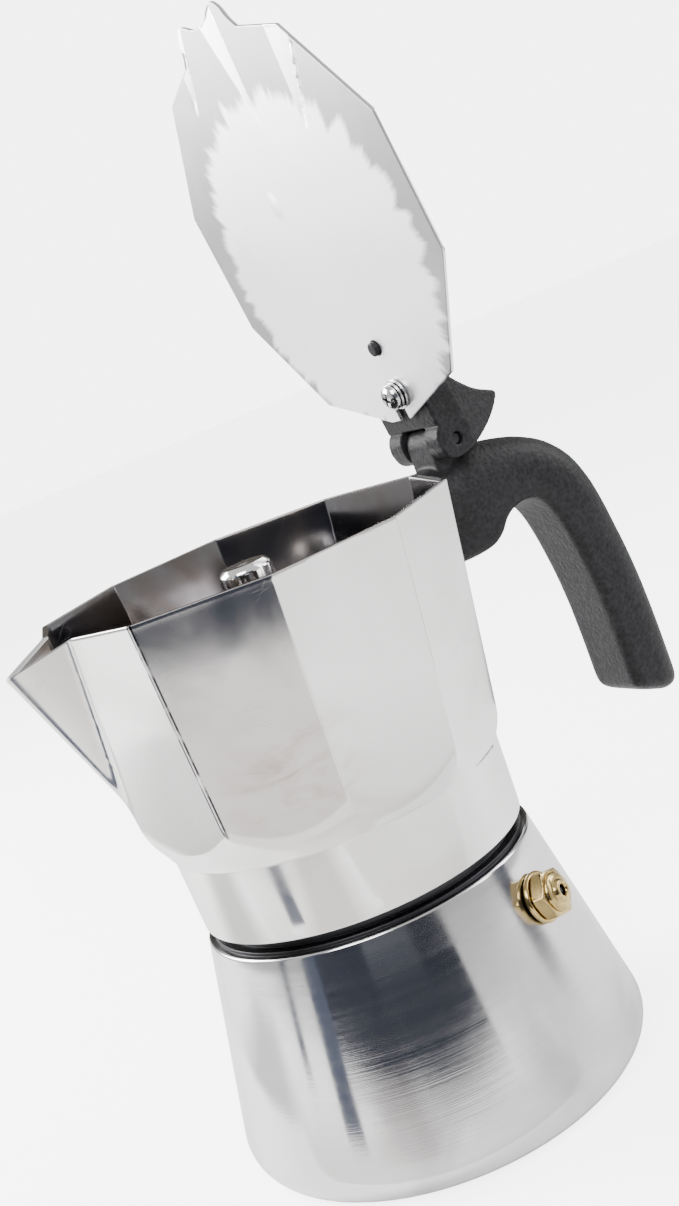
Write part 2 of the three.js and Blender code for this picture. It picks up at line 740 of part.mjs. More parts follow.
// Safety valve: sealing washer, body, cap, sprung poppet with its rod
const valveWasherTop = restGap + valveWasherThickness;
const hexBottom = valveWasherTop + restGap;
const hexTop = hexBottom + valveHexHeight;
const shankBottom = -boilerWall - valveShankInside;
const seatTop = shankBottom + valveSeatThickness;
const capFoot = hexTop + restGap;
const capShoulder = capFoot + valveCapHeight;
const noseTop = capShoulder + valveNoseHeight;
const poppetBottom = seatTop + restGap;
const poppetTop = poppetBottom + poppetThickness;

const valveWasher = ring(valveShankRadius + restGap, valveWasherRadius, restGap, valveWasherTop, 32);
addPiece(valve, "valve_washer", valveWasher, brass);

const hexChamfer = turned([
  [0, hexBottom - 1],
  [valveHexWidth, hexBottom - 1],
  [valveHexWidth, hexTop - 1.8],
  [valveHexWidth / 2 + 0.1, hexTop],
  [0, hexTop],
], 32);
const valveBody = hexagon(valveHexWidth, hexBottom, hexTop).intersect(hexChamfer)
  .add(rod(valveShankRadius, shankBottom, hexBottom + 1, 24))
  .subtract(rod(valveBore, seatTop, hexTop + 1, 20))
  .subtract(rod(valveOrifice, shankBottom - 1, seatTop + 1, 12));
addPiece(valve, "valve_body", valveBody, brass);

const noseHole = valveRodRadius + 0.5;
const nose = turned([
  [0, capFoot],
  [valveCapWidth / 2 - 0.2, capFoot],
  [valveCapWidth / 2 - 0.2, capShoulder],
  [valveCapWidth / 2 - 1, noseTop],
  [0, noseTop],
], 24);
const valveCap = hexagon(valveCapWidth, capFoot, capShoulder).add(nose)
  .subtract(rod(noseHole, capFoot - 1, noseTop + 1, 16));
addPiece(valve, "valve_cap", valveCap, brass);

const poppet = rod(poppetRadius, poppetBottom, poppetTop, 20)
  .add(rod(valveRodRadius, poppetTop - 0.2, noseTop - valveRodShort, 12));
addPiece(valve, "valve_pin", poppet, steel);

class Helix extends THREE.Curve {
  getPoint(t, target = new THREE.Vector3()) {
    const first = poppetTop + restGap + valveSpringWire;
    const last = capFoot - restGap - valveSpringWire;
    const turn = 2 * Math.PI * valveSpringTurns * t;
    const radius = valveSpringRadius;
    return target.set(radius * Math.cos(turn), radius * Math.sin(turn), THREE.MathUtils.lerp(first, last, t));
  }
}

const wire = new THREE.Shape();
wire.absarc(0, 0, valveSpringWire, 0, 2 * Math.PI, false);
const coil = new THREE.ExtrudeGeometry(wire, {
  steps: 10 * valveSpringTurns,
  curveSegments: 3,
  extrudePath: new Helix(),
});
addPiece(valve, "valve_spring", solid(coil), steel);

export default pot;
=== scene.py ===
import math

import bmesh
import bpy
from mathutils import Matrix, Vector


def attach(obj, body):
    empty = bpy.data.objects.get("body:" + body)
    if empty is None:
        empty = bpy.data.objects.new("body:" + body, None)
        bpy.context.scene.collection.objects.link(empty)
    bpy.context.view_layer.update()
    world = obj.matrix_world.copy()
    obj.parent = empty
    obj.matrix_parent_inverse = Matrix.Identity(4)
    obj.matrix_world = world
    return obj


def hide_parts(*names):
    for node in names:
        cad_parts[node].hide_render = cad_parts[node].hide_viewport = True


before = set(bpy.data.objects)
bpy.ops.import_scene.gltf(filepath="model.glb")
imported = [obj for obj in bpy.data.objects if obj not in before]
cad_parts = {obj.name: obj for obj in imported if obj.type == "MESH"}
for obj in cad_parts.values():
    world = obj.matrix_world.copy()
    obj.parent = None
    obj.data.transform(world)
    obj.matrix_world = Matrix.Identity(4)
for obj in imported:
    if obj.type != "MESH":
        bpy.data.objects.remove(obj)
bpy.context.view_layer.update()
mm = 0.001
print("frame loaded,", len(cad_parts), "nodes")


# mesh helpers, all in millimetres until makePiece

def makePiece(name, verts, faces, material, sharp=32, slots=None, place=None, extra=()):
    mesh = bpy.data.meshes.new(name)
    mesh.from_pydata([Vector(v) * mm for v in verts], [], faces)
    for item in (material, *extra):
        mesh.materials.append(item)
    if slots:
        mesh.polygons.foreach_set("material_index", slots)
    tidyMesh(mesh, sharp)
    if place is not None:
        mesh.transform(place)
    piece = bpy.data.objects.new(name, mesh)
    bpy.context.scene.collection.objects.link(piece)
    return piece


def tidyMesh(mesh, sharp, merge=1e-6):
    work = bmesh.new()
    work.from_mesh(mesh)
    bmesh.ops.remove_doubles(work, verts=work.verts, dist=merge)
    bmesh.ops.dissolve_degenerate(work, dist=1e-8, edges=work.edges)
    bmesh.ops.recalc_face_normals(work, faces=work.faces)
    work.to_mesh(mesh)
    work.free()
    mesh.polygons.foreach_set("use_smooth", [True] * len(mesh.polygons))
    mesh.set_sharp_from_angle(angle=math.radians(sharp))


def gridFaces(columns, rows, ringColumns=True, ringRows=True):
    faces = []
    for i in range(columns if ringColumns else columns - 1):
        j = (i + 1) % columns
        for k in range(rows if ringRows else rows - 1):
            m = (k + 1) % rows
            faces.append((i * rows + k, j * rows + k, j * rows + m, i * rows + m))
    return faces


def roundedProfile(points, radius, ring, steps=4):
    # every corner of a [radius, height] profile gets a small round, a third number sets its own size
    out = []
    count = len(points)
    for i, point in enumerate(points):
        if not ring and i in (0, count - 1):
            out.append(point[:2])
            continue
        here = Vector(point[:2])
        before = Vector(points[i - 1][:2]) - here
        after = Vector(points[(i + 1) % count][:2]) - here
        wanted = point[2] if len(point) > 2 else radius
        cut = min(wanted, before.length / 2.05, after.length / 2.05)
        if cut < 1e-4:
            out.append(point[:2])
            continue
        start = here + before.normalized() * cut
        end = here + after.normalized() * cut
        for s in range(steps + 1):
            t = s / steps
            out.append(tuple(start * (1 - t) ** 2 + here * 2 * t * (1 - t) + end * t * t))
    return out


def turnedPiece(name, profile, material, segments=96, round=0.15, ring=True, place=None, sharp=32):
    outline = roundedProfile(profile, round, ring)
    verts = []
    for i in range(segments):
        a = 2 * math.pi * i / segments
        verts += [(r * math.cos(a), r * math.sin(a), z) for r, z in outline]
    faces = gridFaces(segments, len(outline), True, ring)
    return makePiece(name, verts, faces, material, sharp, place=place)


def smoothMin(a, b, k):
    h = max(k - abs(a - b), 0) / k
    return min(a, b) - h * h * k / 4


def smoothMax(a, b, k):
    return -smoothMin(-a, -b, k)


def polygonRadius(angle, sides, flat, rounding, cornerAt=0.0):
    # polar radius of a regular outline with rounded corners, flat is the distance to its flats
    side = 2 * math.pi / sides
    delta = (angle - cornerAt + side / 2) % side - side / 2
    centre = (flat - rounding) / math.cos(side / 2)
    limit = math.atan2(rounding * math.sin(side / 2), centre + rounding * math.cos(side / 2))
    if abs(delta) < limit:
        return centre * math.cos(delta) + math.sqrt(rounding ** 2 - (centre * math.sin(delta)) ** 2)
    return flat / math.cos(side / 2 - abs(delta))


def sideAngles(sides, cornerSpread, flatSteps, extra=()):
    # column angles, close together at the corners
    side = 2 * math.pi / sides
    angles = set()
    for n in range(sides):
        corner = n * side
        for d in (-1, -0.5, 0, 0.5, 1):
            angles.add(round_(corner + d * cornerSpread))
        for s in range(1, flatSteps):
            angles.add(round_(corner + cornerSpread + (side - 2 * cornerSpread) * s / flatSteps))
    angles.update(round_(a % (2 * math.pi)) for a in extra)
    return sorted(a % (2 * math.pi) for a in angles)


def round_(value):
    return round(value % (2 * math.pi), 7)


def curveThrough(points, steps=6, ring=False):
    # Catmull-Rom line through the points
    out = []
    count = len(points)
    last = count if ring else count - 1
    for i in range(last):
        p = [Vector(points[j % count] if ring else points[min(max(j, 0), count - 1)])
             for j in (i - 1, i, i + 1, i + 2)]
        for s in range(steps):
            t = s / steps
            out.append(tuple(0.5 * (
                2 * p[1] + (p[2] - p[0]) * t + (2 * p[0] - 5 * p[1] + 4 * p[2] - p[3]) * t * t
                + (3 * p[1] - p[0] - 3 * p[2] + p[3]) * t ** 3
            )))
    if not ring:
        out.append(tuple(points[-1]))
    return out


def prismPiece(name, outline, low, high, axis="Y", material=None):
    # an outline pushed along an axis, closed at both ends, used to cut or to build up
    count = len(outline)
    lift = {
        "Y": lambda p, d: (p[0], d, p[1]),
        "Z": lambda p, d: (p[0], p[1], d),
        "X": lambda p, d: (d, p[0], p[1]),
    }[axis]
    verts = [lift(p, low) for p in outline] + [lift(p, high) for p in outline]
    faces = [tuple(range(count)), tuple(range(2 * count - 1, count - 1, -1))]
    faces += [(i, (i + 1) % count, count + (i + 1) % count, count + i) for i in range(count)]
    return makePiece(name, verts, faces, material or plainCutter)


def circle(radius, centre=(0, 0), steps=48, start=0.0, end=2 * math.pi):
    closed = abs(end - start - 2 * math.pi) < 1e-6
    count = steps if closed else steps + 1
    return [(centre[0] + radius * math.cos(start + (end - start) * i / steps),
             centre[1] + radius * math.sin(start + (end - start) * i / steps)) for i in range(count)]


def boxPiece(name, low, high, material=None):
    corners = [(low[0], low[1]), (high[0], low[1]), (high[0], high[1]), (low[0], high[1])]
    return prismPiece(name, corners, low[2], high[2], "Z", material)


def carve(piece, tool, how="DIFFERENCE"):
    change = piece.modifiers.new(how, "BOOLEAN")
    change.operation = how
    change.solver = "EXACT"
    change.object = tool
    bake(piece)
    bpy.data.objects.remove(tool)


def bake(piece):
    # the evaluated mesh takes the place of the piece's own, and its modifiers go
    graph = bpy.context.evaluated_depsgraph_get()
    mesh = bpy.data.meshes.new_from_object(piece.evaluated_get(graph))
    piece.modifiers.clear()
    old = piece.data
    piece.data = mesh
    mesh.name = piece.name
    bpy.data.meshes.remove(old)


def moulded(piece, voxel, soften):
    # the joined shapes become one moulded skin with softened edges
    remesh = piece.modifiers.new("skin", "REMESH")
    remesh.mode = "VOXEL"
    remesh.voxel_size = voxel * mm
    smooth = piece.modifiers.new("soften", "SMOOTH")
    smooth.factor = 0.5
    smooth.iterations = soften
    bake(piece)
    piece.data.polygons.foreach_set("use_smooth", [True] * len(piece.data.polygons))


def finishPiece(piece, body, slotName, *nodes):
    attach(piece, body)
    if nodes:
        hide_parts(*nodes)
    return piece


# shader node groups

def newGroup(name, inputs, outputs):
    tree = bpy.data.node_groups.new(name, "ShaderNodeTree")
    for label, kind, value in inputs:
        socket = tree.interface.new_socket(label, in_out="INPUT", socket_type=kind)
        if value is not None:
            socket.default_value = value
    for label, kind in outputs:
        tree.interface.new_socket(label, in_out="OUTPUT", socket_type=kind)
    return tree, tree.nodes.new("NodeGroupInput"), tree.nodes.new("NodeGroupOutput")


def addNode(tree, kind, inputs=None, **settings):
    # an input takes a socket to link or a plain value
    node = tree.nodes.new(kind)
    for key, value in settings.items():
        setattr(node, key, value)
    for key, value in (inputs or {}).items():
        if isinstance(value, bpy.types.NodeSocket):
            tree.links.new(value, node.inputs[key])
        else:
            node.inputs[key].default_value = value
    return node


def calculate(tree, operation, first, second=None):
    values = {0: first} if second is None else {0: first, 1: second}
    return addNode(tree, "ShaderNodeMath", values, operation=operation).outputs[0]


def calculateVector(tree, operation, first, second=None):
    values = {0: first} if second is None else {0: first, 1: second}
    node = addNode(tree, "ShaderNodeVectorMath", values, operation=operation)
    givesNumber = operation in ("LENGTH", "DISTANCE", "DOT_PRODUCT")
    return node.outputs["Value" if givesNumber else "Vector"]


def makeStretchedGrain():
    # brush marks: noise drawn out across one direction, plus broader streaks
    tree, inside, outside = newGroup(
        "stretchedGrain",
        [("Vector", "NodeSocketVector", None), ("Stretch", "NodeSocketVector", (60, 60, 4000)),
         ("Coarse", "NodeSocketFloat", 0.12)],
        [("Height", "NodeSocketFloat"), ("Streak", "NodeSocketFloat")],
    )
    scaled = calculateVector(tree, "MULTIPLY", inside.outputs["Vector"], inside.outputs["Stretch"])
    fine = addNode(tree, "ShaderNodeTexNoise", {"Vector": scaled, "Scale": 1, "Detail": 3})
    wider = addNode(tree, "ShaderNodeVectorMath", {0: scaled, "Scale": inside.outputs["Coarse"]},
                    operation="SCALE")
    broad = addNode(tree, "ShaderNodeTexNoise", {"Vector": wider.outputs[0], "Scale": 1, "Detail": 2})
    tree.links.new(fine.outputs[0], outside.inputs["Height"])
    tree.links.new(broad.outputs[0], outside.inputs["Streak"])
    return tree


def makeScratches():
    # a few hair-thin lines that run different ways
    tree, inside, outside = newGroup(
        "hairScratches",
        [("Vector", "NodeSocketVector", None), ("Scale", "NodeSocketFloat", 60.0),
         ("Share", "NodeSocketFloat", 0.012)],
        [("Mask", "NodeSocketFloat")],
    )
    vector, scale = inside.outputs["Vector"], inside.outputs["Scale"]
    lines = 0.0
    for turn in (0.35, 1.25, 2.3):
        spun = addNode(tree, "ShaderNodeVectorRotate",
                       {"Vector": vector, "Rotation": (turn, turn * 0.7, turn * 1.3)},
                       rotation_type="EULER_XYZ")
        squeezed = calculateVector(tree, "MULTIPLY", spun.outputs[0], (1, 0.035, 1))
        cells = addNode(tree, "ShaderNodeTexVoronoi", {"Vector": squeezed, "Scale": scale},
                        feature="DISTANCE_TO_EDGE")
        line = calculate(tree, "LESS_THAN", cells.outputs["Distance"], inside.outputs["Share"])
        lines = calculate(tree, "MAXIMUM", lines, line)
    patchy = addNode(tree, "ShaderNodeTexNoise", {"Vector": vector, "Scale": scale, "Detail": 1})
    some = calculate(tree, "GREATER_THAN", patchy.outputs[0], 0.56)
    tree.links.new(calculate(tree, "MULTIPLY", lines, some), outside.inputs["Mask"])
    return tree


def makeSmudges():
    # soft uneven patches such as fingers and water leave
    tree, inside, outside = newGroup(
        "softSmudges",
        [("Vector", "NodeSocketVector", None), ("Scale", "NodeSocketFloat", 30.0),
         ("Low", "NodeSocketFloat", 0.45), ("High", "NodeSocketFloat", 0.7)],
        [("Mask", "NodeSocketFloat")],
    )
    cloud = addNode(tree, "ShaderNodeTexNoise", {
        "Vector": inside.outputs["Vector"], "Scale": inside.outputs["Scale"], "Detail": 4, "Distortion": 0.6})
    mask = addNode(tree, "ShaderNodeMapRange", {
        "Value": cloud.outputs[0], "From Min": inside.outputs["Low"], "From Max": inside.outputs["High"]})
    tree.links.new(mask.outputs[0], outside.inputs["Mask"])
    return tree


def makePebbleGrain():
    # moulded plastic's fine leathery grain
    tree, inside, outside = newGroup(
        "pebbleGrain",
        [("Vector", "NodeSocketVector", None), ("Scale", "NodeSocketFloat", 1500.0)],
        [("Height", "NodeSocketFloat"), ("Speck", "NodeSocketFloat")],
    )
    vector, scale = inside.outputs["Vector"], inside.outputs["Scale"]
    cells = addNode(tree, "ShaderNodeTexVoronoi", {"Vector": vector, "Scale": scale}, feature="SMOOTH_F1")
    half = calculate(tree, "MULTIPLY", scale, 0.45)
    cloud = addNode(tree, "ShaderNodeTexNoise", {"Vector": vector, "Scale": half, "Detail": 3})
    total = calculate(tree, "ADD", cells.outputs["Distance"], cloud.outputs[0])
    speck = addNode(tree, "ShaderNodeMapRange", {"Value": total, "From Min": 0.55, "From Max": 1.25})
    tree.links.new(total, outside.inputs["Height"])
    tree.links.new(speck.outputs[0], outside.inputs["Speck"])
    return tree


def makeWedgeMask():
    # 0 inside a wedge that opens from its tip, 1 outside
    tree, inside, outside = newGroup(
        "wedgeMask",
        [("Vector", "NodeSocketVector", None), ("Tip", "NodeSocketVector", (0, 0, 0)),
         ("Along", "NodeSocketVector", (1, 0, 0)), ("Across", "NodeSocketVector", (0, 1, 0)),
         ("Spread", "NodeSocketFloat", 0.1)],
        [("Outside", "NodeSocketFloat")],
    )
    fromTip = calculateVector(tree, "SUBTRACT", inside.outputs["Vector"], inside.outputs["Tip"])
    along = calculateVector(tree, "DOT_PRODUCT", fromTip, inside.outputs["Along"])
    aside = calculateVector(tree, "DOT_PRODUCT", fromTip, inside.outputs["Across"])
    width = calculate(tree, "MULTIPLY", along, inside.outputs["Spread"])
    past = calculate(tree, "SUBTRACT", calculate(tree, "ABSOLUTE", aside), width)
    edge = addNode(tree, "ShaderNodeMapRange", {"Value": past, "From Min": -0.002, "From Max": 0.002})
    tree.links.new(edge.outputs[0], outside.inputs["Outside"])
    return tree


stretchedGrain = makeStretchedGrain()
wedgeMask = makeWedgeMask()
hairScratches = makeScratches()
softSmudges = makeSmudges()
pebbleGrain = makePebbleGrain()


def newMaterial(name, **constants):
    material = bpy.data.materials.new(name)
    material.use_nodes = True
    tree = material.node_tree
    shader = tree.nodes["Principled BSDF"]
    for key, value in constants.items():
        shader.inputs[key.replace("_", " ")].default_value = value
    place = tree.nodes.new("ShaderNodeTexCoord").outputs["Object"]
    return material, tree, shader, place


def useGroup(tree, group, vector, **values):
    node = tree.nodes.new("ShaderNodeGroup")
    node.node_tree = group
    tree.links.new(vector, node.inputs["Vector"])
    for key, value in values.items():
        node.inputs[key].default_value = value
    return node


def mixColours(tree, factor, first, second):
    node = tree.nodes.new("ShaderNodeMix")
    node.data_type = "RGBA"
    tree.links.new(factor, node.inputs["Factor"])
    for value, socket in ((first, node.inputs["A"]), (second, node.inputs["B"])):
        if isinstance(value, tuple):
            socket.default_value = (*value, 1)
        else:
            tree.links.new(value, socket)
    return node.outputs["Result"]


def ranged(tree, value, low, high, fromLow=0.0, fromHigh=1.0):
    node = addNode(tree, "ShaderNodeMapRange", {
        "Value": value, "From Min": fromLow, "From Max": fromHigh, "To Min": low, "To Max": high})
    return node.outputs[0]


def bumped(tree, shader, height, strength, distance, previous=None):
    inputs = {"Strength": strength, "Distance": distance, "Height": height}
    if previous is not None:
        inputs["Normal"] = previous
    node = addNode(tree, "ShaderNodeBump", inputs)
    tree.links.new(node.outputs[0], shader.inputs["Normal"])
    return node.outputs[0]


chamberSizes = {
    "collarFoot": 41.7, "collarTop": 42.4, "collarLow": 64.35, "collarHigh": 83.5, "bevelSlope": 0.54,
    "footRadius": 46.5, "footHeight": 89.9, "footShift": 1.8, "rimRadius": 53.1, "rimHeight": 146.3,
    "wall": 1.6, "floorTop": 83.4, "floorRise": 3.0, "seat": 80.4, "bore": 38.6, "columnHole": 6.3,
    "edgeRound": 0.9, "spoutReach": 11.8, "spoutDrop": 3.95, "spoutDepth": 44.5, "spoutHalf": 10.6,
    "spoutWall": 1.5, "screwDrop": 21, "screwHole": 1.8,
}

lidSizes = {"corner": 53.8, "low": 146.7, "thick": 1.0, "cornerCut": 52.2, "edge": 0.22, "rounding": 1.2,
            "tongue": [(48.8, 15.6), (51.2, 13.9), (54.6, 12.4), (56.5, 10.4), (56.8, 8.6), (56.0, 6.6),
                       (54.8, 4.4), (54.3, 2.2), (54.1, 0)],
            "creases": [((-51.5, -4.2), (-27.5, -5.0), 3.6), ((-43.5, -31.0), (-20.0, -22.9), 4.6),
                        ((-49.0, 16.0), (-38.0, 21.0), 2.0)],
            "dimple": (-8.9, 6.8), "creaseDepth": 0.45}

metalLooks = {
    "boiler": {"colour": (0.77, 0.765, 0.765), "dull": (0.5, 0.49, 0.49), "rough": (0.08, 0.2),
               "stretch": (22, 22, 4200), "brush": 0.1, "scratch": 0, "smudge": 26},
    "chamber": {"colour": (0.88, 0.87, 0.86), "dull": (0.72, 0.7, 0.68), "rough": (0.06, 0.17),
                "stretch": (420, 420, 60), "brush": 0.05, "scratch": 0.012, "smudge": 22},
    # the inside metal is a darker copy of the chamber metal: painted shade inside the chamber and on the column
    "inside": {"colour": (0.22, 0.22, 0.235), "dull": (0.12, 0.1, 0.085), "rough": (0.06, 0.17),
               "stretch": (300, 300, 40), "brush": 0.06, "scratch": 0.006, "smudge": 30},
    "lid": {"colour": (0.82, 0.82, 0.83), "dull": (0.7, 0.7, 0.7), "rough": (0.16, 0.3),
            "stretch": (300, 300, 300), "brush": 0.05, "scratch": 0.006, "smudge": 26},
    "spun": {"colour": (0.72, 0.72, 0.73), "dull": (0.6, 0.6, 0.61), "rough": (0.28, 0.42),
             "stretch": (60, 60, 2200), "brush": 0.2, "scratch": 0.004, "smudge": 40},
    # the neck metal's dark colour is painted shade on the boiler neck where it shows in the gap under the collar;
    # the pins use the same dark metal
    "neck": {"colour": (0.05, 0.05, 0.055), "dull": (0.02, 0.02, 0.02), "rough": (0.3, 0.45),
             "stretch": (30, 30, 2400), "brush": 0.2, "scratch": 0.006, "smudge": 40},
    "steel": {"colour": (0.72, 0.72, 0.71), "dull": (0.55, 0.55, 0.55), "rough": (0.1, 0.2),
              "stretch": (900, 900, 900), "brush": 0.06, "scratch": 0.01, "smudge": 120},
    "brass": {"colour": (0.6, 0.45, 0.19), "dull": (0.36, 0.25, 0.1), "rough": (0.12, 0.26),
              "stretch": (500, 500, 500), "brush": 0.08, "scratch": 0.01, "smudge": 160},
}


def stainColour(tree, place, colour):
    # brownish marks low on the panel that faces the front
    look = {"at": (-0.026, -0.043, 0.101), "reach": 0.022, "tint": (0.46, 0.35, 0.31), "strength": 0.8,
            "squeeze": (1, 1, 2.4)}
    near = ranged(tree, calculateVector(tree, "DISTANCE", place, look["at"]), 1, 0, 0, look["reach"])
    squeezed = calculateVector(tree, "MULTIPLY", place, look["squeeze"])
    cloud = useGroup(tree, softSmudges, squeezed, Scale=75.0, Low=0.44, High=0.66)
    mark = calculate(tree, "MULTIPLY", near, cloud.outputs["Mask"])
    return mixColours(tree, calculate(tree, "MULTIPLY", mark, look["strength"]), colour, look["tint"])


def edgeReflectionColour(tree, place, colour):
    # painted dark reflection along the sharp edge left of the front panel, broken into patches
    look = {"edge": -144, "aside": 0.00042, "core": 0.00016, "fade": 0.00034, "tint": (0.05, 0.05, 0.055)}
    s = chamberSizes
    turn = math.radians(look["edge"])
    low, high = s["footRadius"], s["rimRadius"]
    foot = low * math.cos(turn) - s["footShift"], low * math.sin(turn), s["footHeight"]
    head = high * math.cos(turn), high * math.sin(turn), s["rimHeight"]
    line = (Vector(foot) - Vector(head)).normalized()
    start = calculateVector(tree, "SUBTRACT", place, Vector(head) * mm)
    away = calculateVector(tree, "LENGTH", calculateVector(tree, "CROSS_PRODUCT", start, line))
    off = calculate(tree, "ABSOLUTE", calculate(tree, "SUBTRACT", away, look["aside"]))
    band = ranged(tree, off, 1, 0, look["core"], look["fade"])
    patchy = useGroup(tree, softSmudges, place, Scale=160.0, Low=0.3, High=0.5)
    return mixColours(tree, calculate(tree, "MULTIPLY", band, patchy.outputs["Mask"]), colour, look["tint"])


def makeMetal(key):
    look = metalLooks[key]
    material, tree, shader, place = newMaterial(key + "Metal", Metallic=1.0)
    brush = useGroup(tree, stretchedGrain, place, Stretch=look["stretch"])
    smudge = useGroup(tree, softSmudges, place, Scale=look["smudge"])
    stained = mixColours(tree, smudge.outputs["Mask"], look["colour"], look["dull"])
    half = calculate(tree, "MULTIPLY", brush.outputs["Streak"], 0.35)
    streaked = mixColours(tree, half, stained, look["dull"])
    # the chamber also gets brownish marks low on its front panel, and a painted dark reflection along one sharp
    # edge
    if key == "chamber":
        streaked = edgeReflectionColour(tree, place, stainColour(tree, place, streaked))
    tree.links.new(streaked, shader.inputs["Base Color"])
    low, high = look["rough"]
    both = calculate(tree, "ADD", brush.outputs["Streak"], smudge.outputs["Mask"])
    tree.links.new(ranged(tree, both, low, high, 0.3, 1.3), shader.inputs["Roughness"])
    fine = bumped(tree, shader, brush.outputs["Height"], look["brush"], 0.00008)
    if look["scratch"]:
        scratch = useGroup(tree, hairScratches, place, Scale=90.0, Share=look["scratch"])
        bumped(tree, shader, scratch.outputs["Mask"], 0.12, 0.00004, fine)
    return material


def makeLidMetal():
    # bright middle, and a duller ring whose inner edge is jagged
    look = {"middle": (0.97, 0.975, 1.0), "ring": (0.34, 0.34, 0.34), "smudged": (0.6, 0.6, 0.62),
            "ringAt": 0.43, "ringFade": 0.03, "jag": 0.035, "shift": (-0.1, 0.0, 0.0)}
    material, tree, shader, place = newMaterial("lidMetal", Metallic=1.0)
    plan = addNode(tree, "ShaderNodeUVMap", uv_map="plan").outputs[0]
    middle = calculateVector(tree, "ADD", plan, look["shift"])
    facing = calculateVector(tree, "NORMALIZE", middle)
    noise = addNode(tree, "ShaderNodeTexNoise", {"Vector": facing, "Scale": 9, "Detail": 6})
    jag = ranged(tree, noise.outputs[0], -look["jag"], look["jag"], 0.3, 0.7)
    moved = calculate(tree, "ADD", jag, calculateVector(tree, "LENGTH", middle))
    ring = ranged(tree, moved, 0, 1, look["ringAt"], look["ringAt"] + look["ringFade"])
    for start, end, wide in lidSizes["creases"]:
        line = Vector((start[0] - end[0], start[1] - end[1], 0)) / 100
        facing = line.normalized()
        wedge = useGroup(tree, wedgeMask, plan, Tip=Vector((*end, 0)) / 100, Along=facing,
                         Across=facing.cross(Vector((0, 0, 1))), Spread=wide / 100 / line.length)
        ring = calculate(tree, "MULTIPLY", ring, wedge.outputs["Outside"])
    smudge = useGroup(tree, softSmudges, place, Scale=34.0)
    scratch = useGroup(tree, hairScratches, place, Scale=90.0, Share=0.006)
    soft = calculate(tree, "MULTIPLY", smudge.outputs["Mask"], 0.22)
    clean = mixColours(tree, ring, look["middle"], look["ring"])
    tree.links.new(mixColours(tree, soft, clean, look["smudged"]), shader.inputs["Base Color"])
    tree.links.new(ranged(tree, ring, 0.42, 0.36), shader.inputs["Roughness"])
    fine = bumped(tree, shader, smudge.outputs["Mask"], 0.1, 0.0002)
    bumped(tree, shader, scratch.outputs["Mask"], 0.12, 0.00004, fine)
    return material


def makePlastic():
    look = {"dark": (0.008, 0.008, 0.0086), "light": (0.019, 0.019, 0.0205), "dust": (0.024, 0.024, 0.026),
            "grain": 1150.0}
    material, tree, shader, place = newMaterial("charcoalPlastic", Specular_IOR_Level=0.13)
    grain = useGroup(tree, pebbleGrain, place, Scale=look["grain"])
    dust = useGroup(tree, softSmudges, place, Scale=35.0, Low=0.35, High=0.8)
    speckled = mixColours(tree, grain.outputs["Speck"], look["dark"], look["light"])
    dusted = calculate(tree, "MULTIPLY", dust.outputs["Mask"], 0.35)
    tree.links.new(mixColours(tree, dusted, speckled, look["dust"]), shader.inputs["Base Color"])
    tree.links.new(ranged(tree, dust.outputs["Mask"], 0.4, 0.54), shader.inputs["Roughness"])
    bumped(tree, shader, grain.outputs["Height"], 0.75, 0.00016)
    return material


def makeRubber():
    material, tree, shader, place = newMaterial("siliconeSeal", Specular_IOR_Level=0.35)
    grain = useGroup(tree, pebbleGrain, place, Scale=700.0)
    mark = useGroup(tree, softSmudges, place, Scale=60.0)
    tree.links.new(mixColours(tree, mark.outputs["Mask"], (0.78, 0.76, 0.7), (0.68, 0.64, 0.56)),
                   shader.inputs["Base Color"])
    tree.links.new(ranged(tree, mark.outputs["Mask"], 0.5, 0.68), shader.inputs["Roughness"])
    bumped(tree, shader, grain.outputs["Height"], 0.15, 0.0001)
    return material


boilerMetal = makeMetal("boiler")
chamberMetal = makeMetal("chamber")
insideMetal = makeMetal("inside")
lidMetal = makeLidMetal()
spunMetal = makeMetal("spun")
neckMetal = makeMetal("neck")
steelMetal = makeMetal("steel")
brassMetal = makeMetal("brass")
plasticSkin = makePlastic()
sealRubber = makeRubber()
plainCutter = bpy.data.materials.new("cutter")
print("materials ready")


# geometry node trees

def newShapeTree(name, inputs):
    tree = bpy.data.node_groups.new(name, "GeometryNodeTree")
    for label, kind, value in inputs:
        socket = tree.interface.new_socket(label, in_out="INPUT", socket_type=kind)
        if value is not None:
            socket.default_value = value
    tree.interface.new_socket("Geometry", in_out="OUTPUT", socket_type="NodeSocketGeometry")
    return tree, tree.nodes.new("NodeGroupInput"), tree.nodes.new("NodeGroupOutput")


def endShapeTree(tree, inside, outside, shape):
    real = addNode(tree, "GeometryNodeRealizeInstances", {0: shape})
    painted = addNode(tree, "GeometryNodeSetMaterial", {
        "Geometry": real.outputs[0], "Material": inside.outputs["Material"]})
    tree.links.new(painted.outputs[0], outside.inputs[0])


def makeWireTree():
    # a round wire wound on a cylinder: threads and springs
    tree, inside, outside = newShapeTree("woundWire", [
        ("Radius", "NodeSocketFloat", 0.01), ("Height", "NodeSocketFloat", 0.01),
        ("Turns", "NodeSocketFloat", 4.0), ("Wire", "NodeSocketFloat", 0.0005),
        ("Resolution", "NodeSocketInt", 48), ("Sides", "NodeSocketInt", 8),
        ("Material", "NodeSocketMaterial", None)])
    spiral = addNode(tree, "GeometryNodeCurveSpiral", {
        "Resolution": inside.outputs["Resolution"], "Rotations": inside.outputs["Turns"],
        "Start Radius": inside.outputs["Radius"], "End Radius": inside.outputs["Radius"],
        "Height": inside.outputs["Height"]})
    section = addNode(tree, "GeometryNodeCurvePrimitiveCircle", {
        "Resolution": inside.outputs["Sides"], "Radius": inside.outputs["Wire"]}, mode="RADIUS")
    wound = addNode(tree, "GeometryNodeCurveToMesh", {
        "Curve": spiral.outputs[0], "Profile Curve": section.outputs[0], "Fill Caps": True})
    endShapeTree(tree, inside, outside, wound.outputs[0])
    return tree


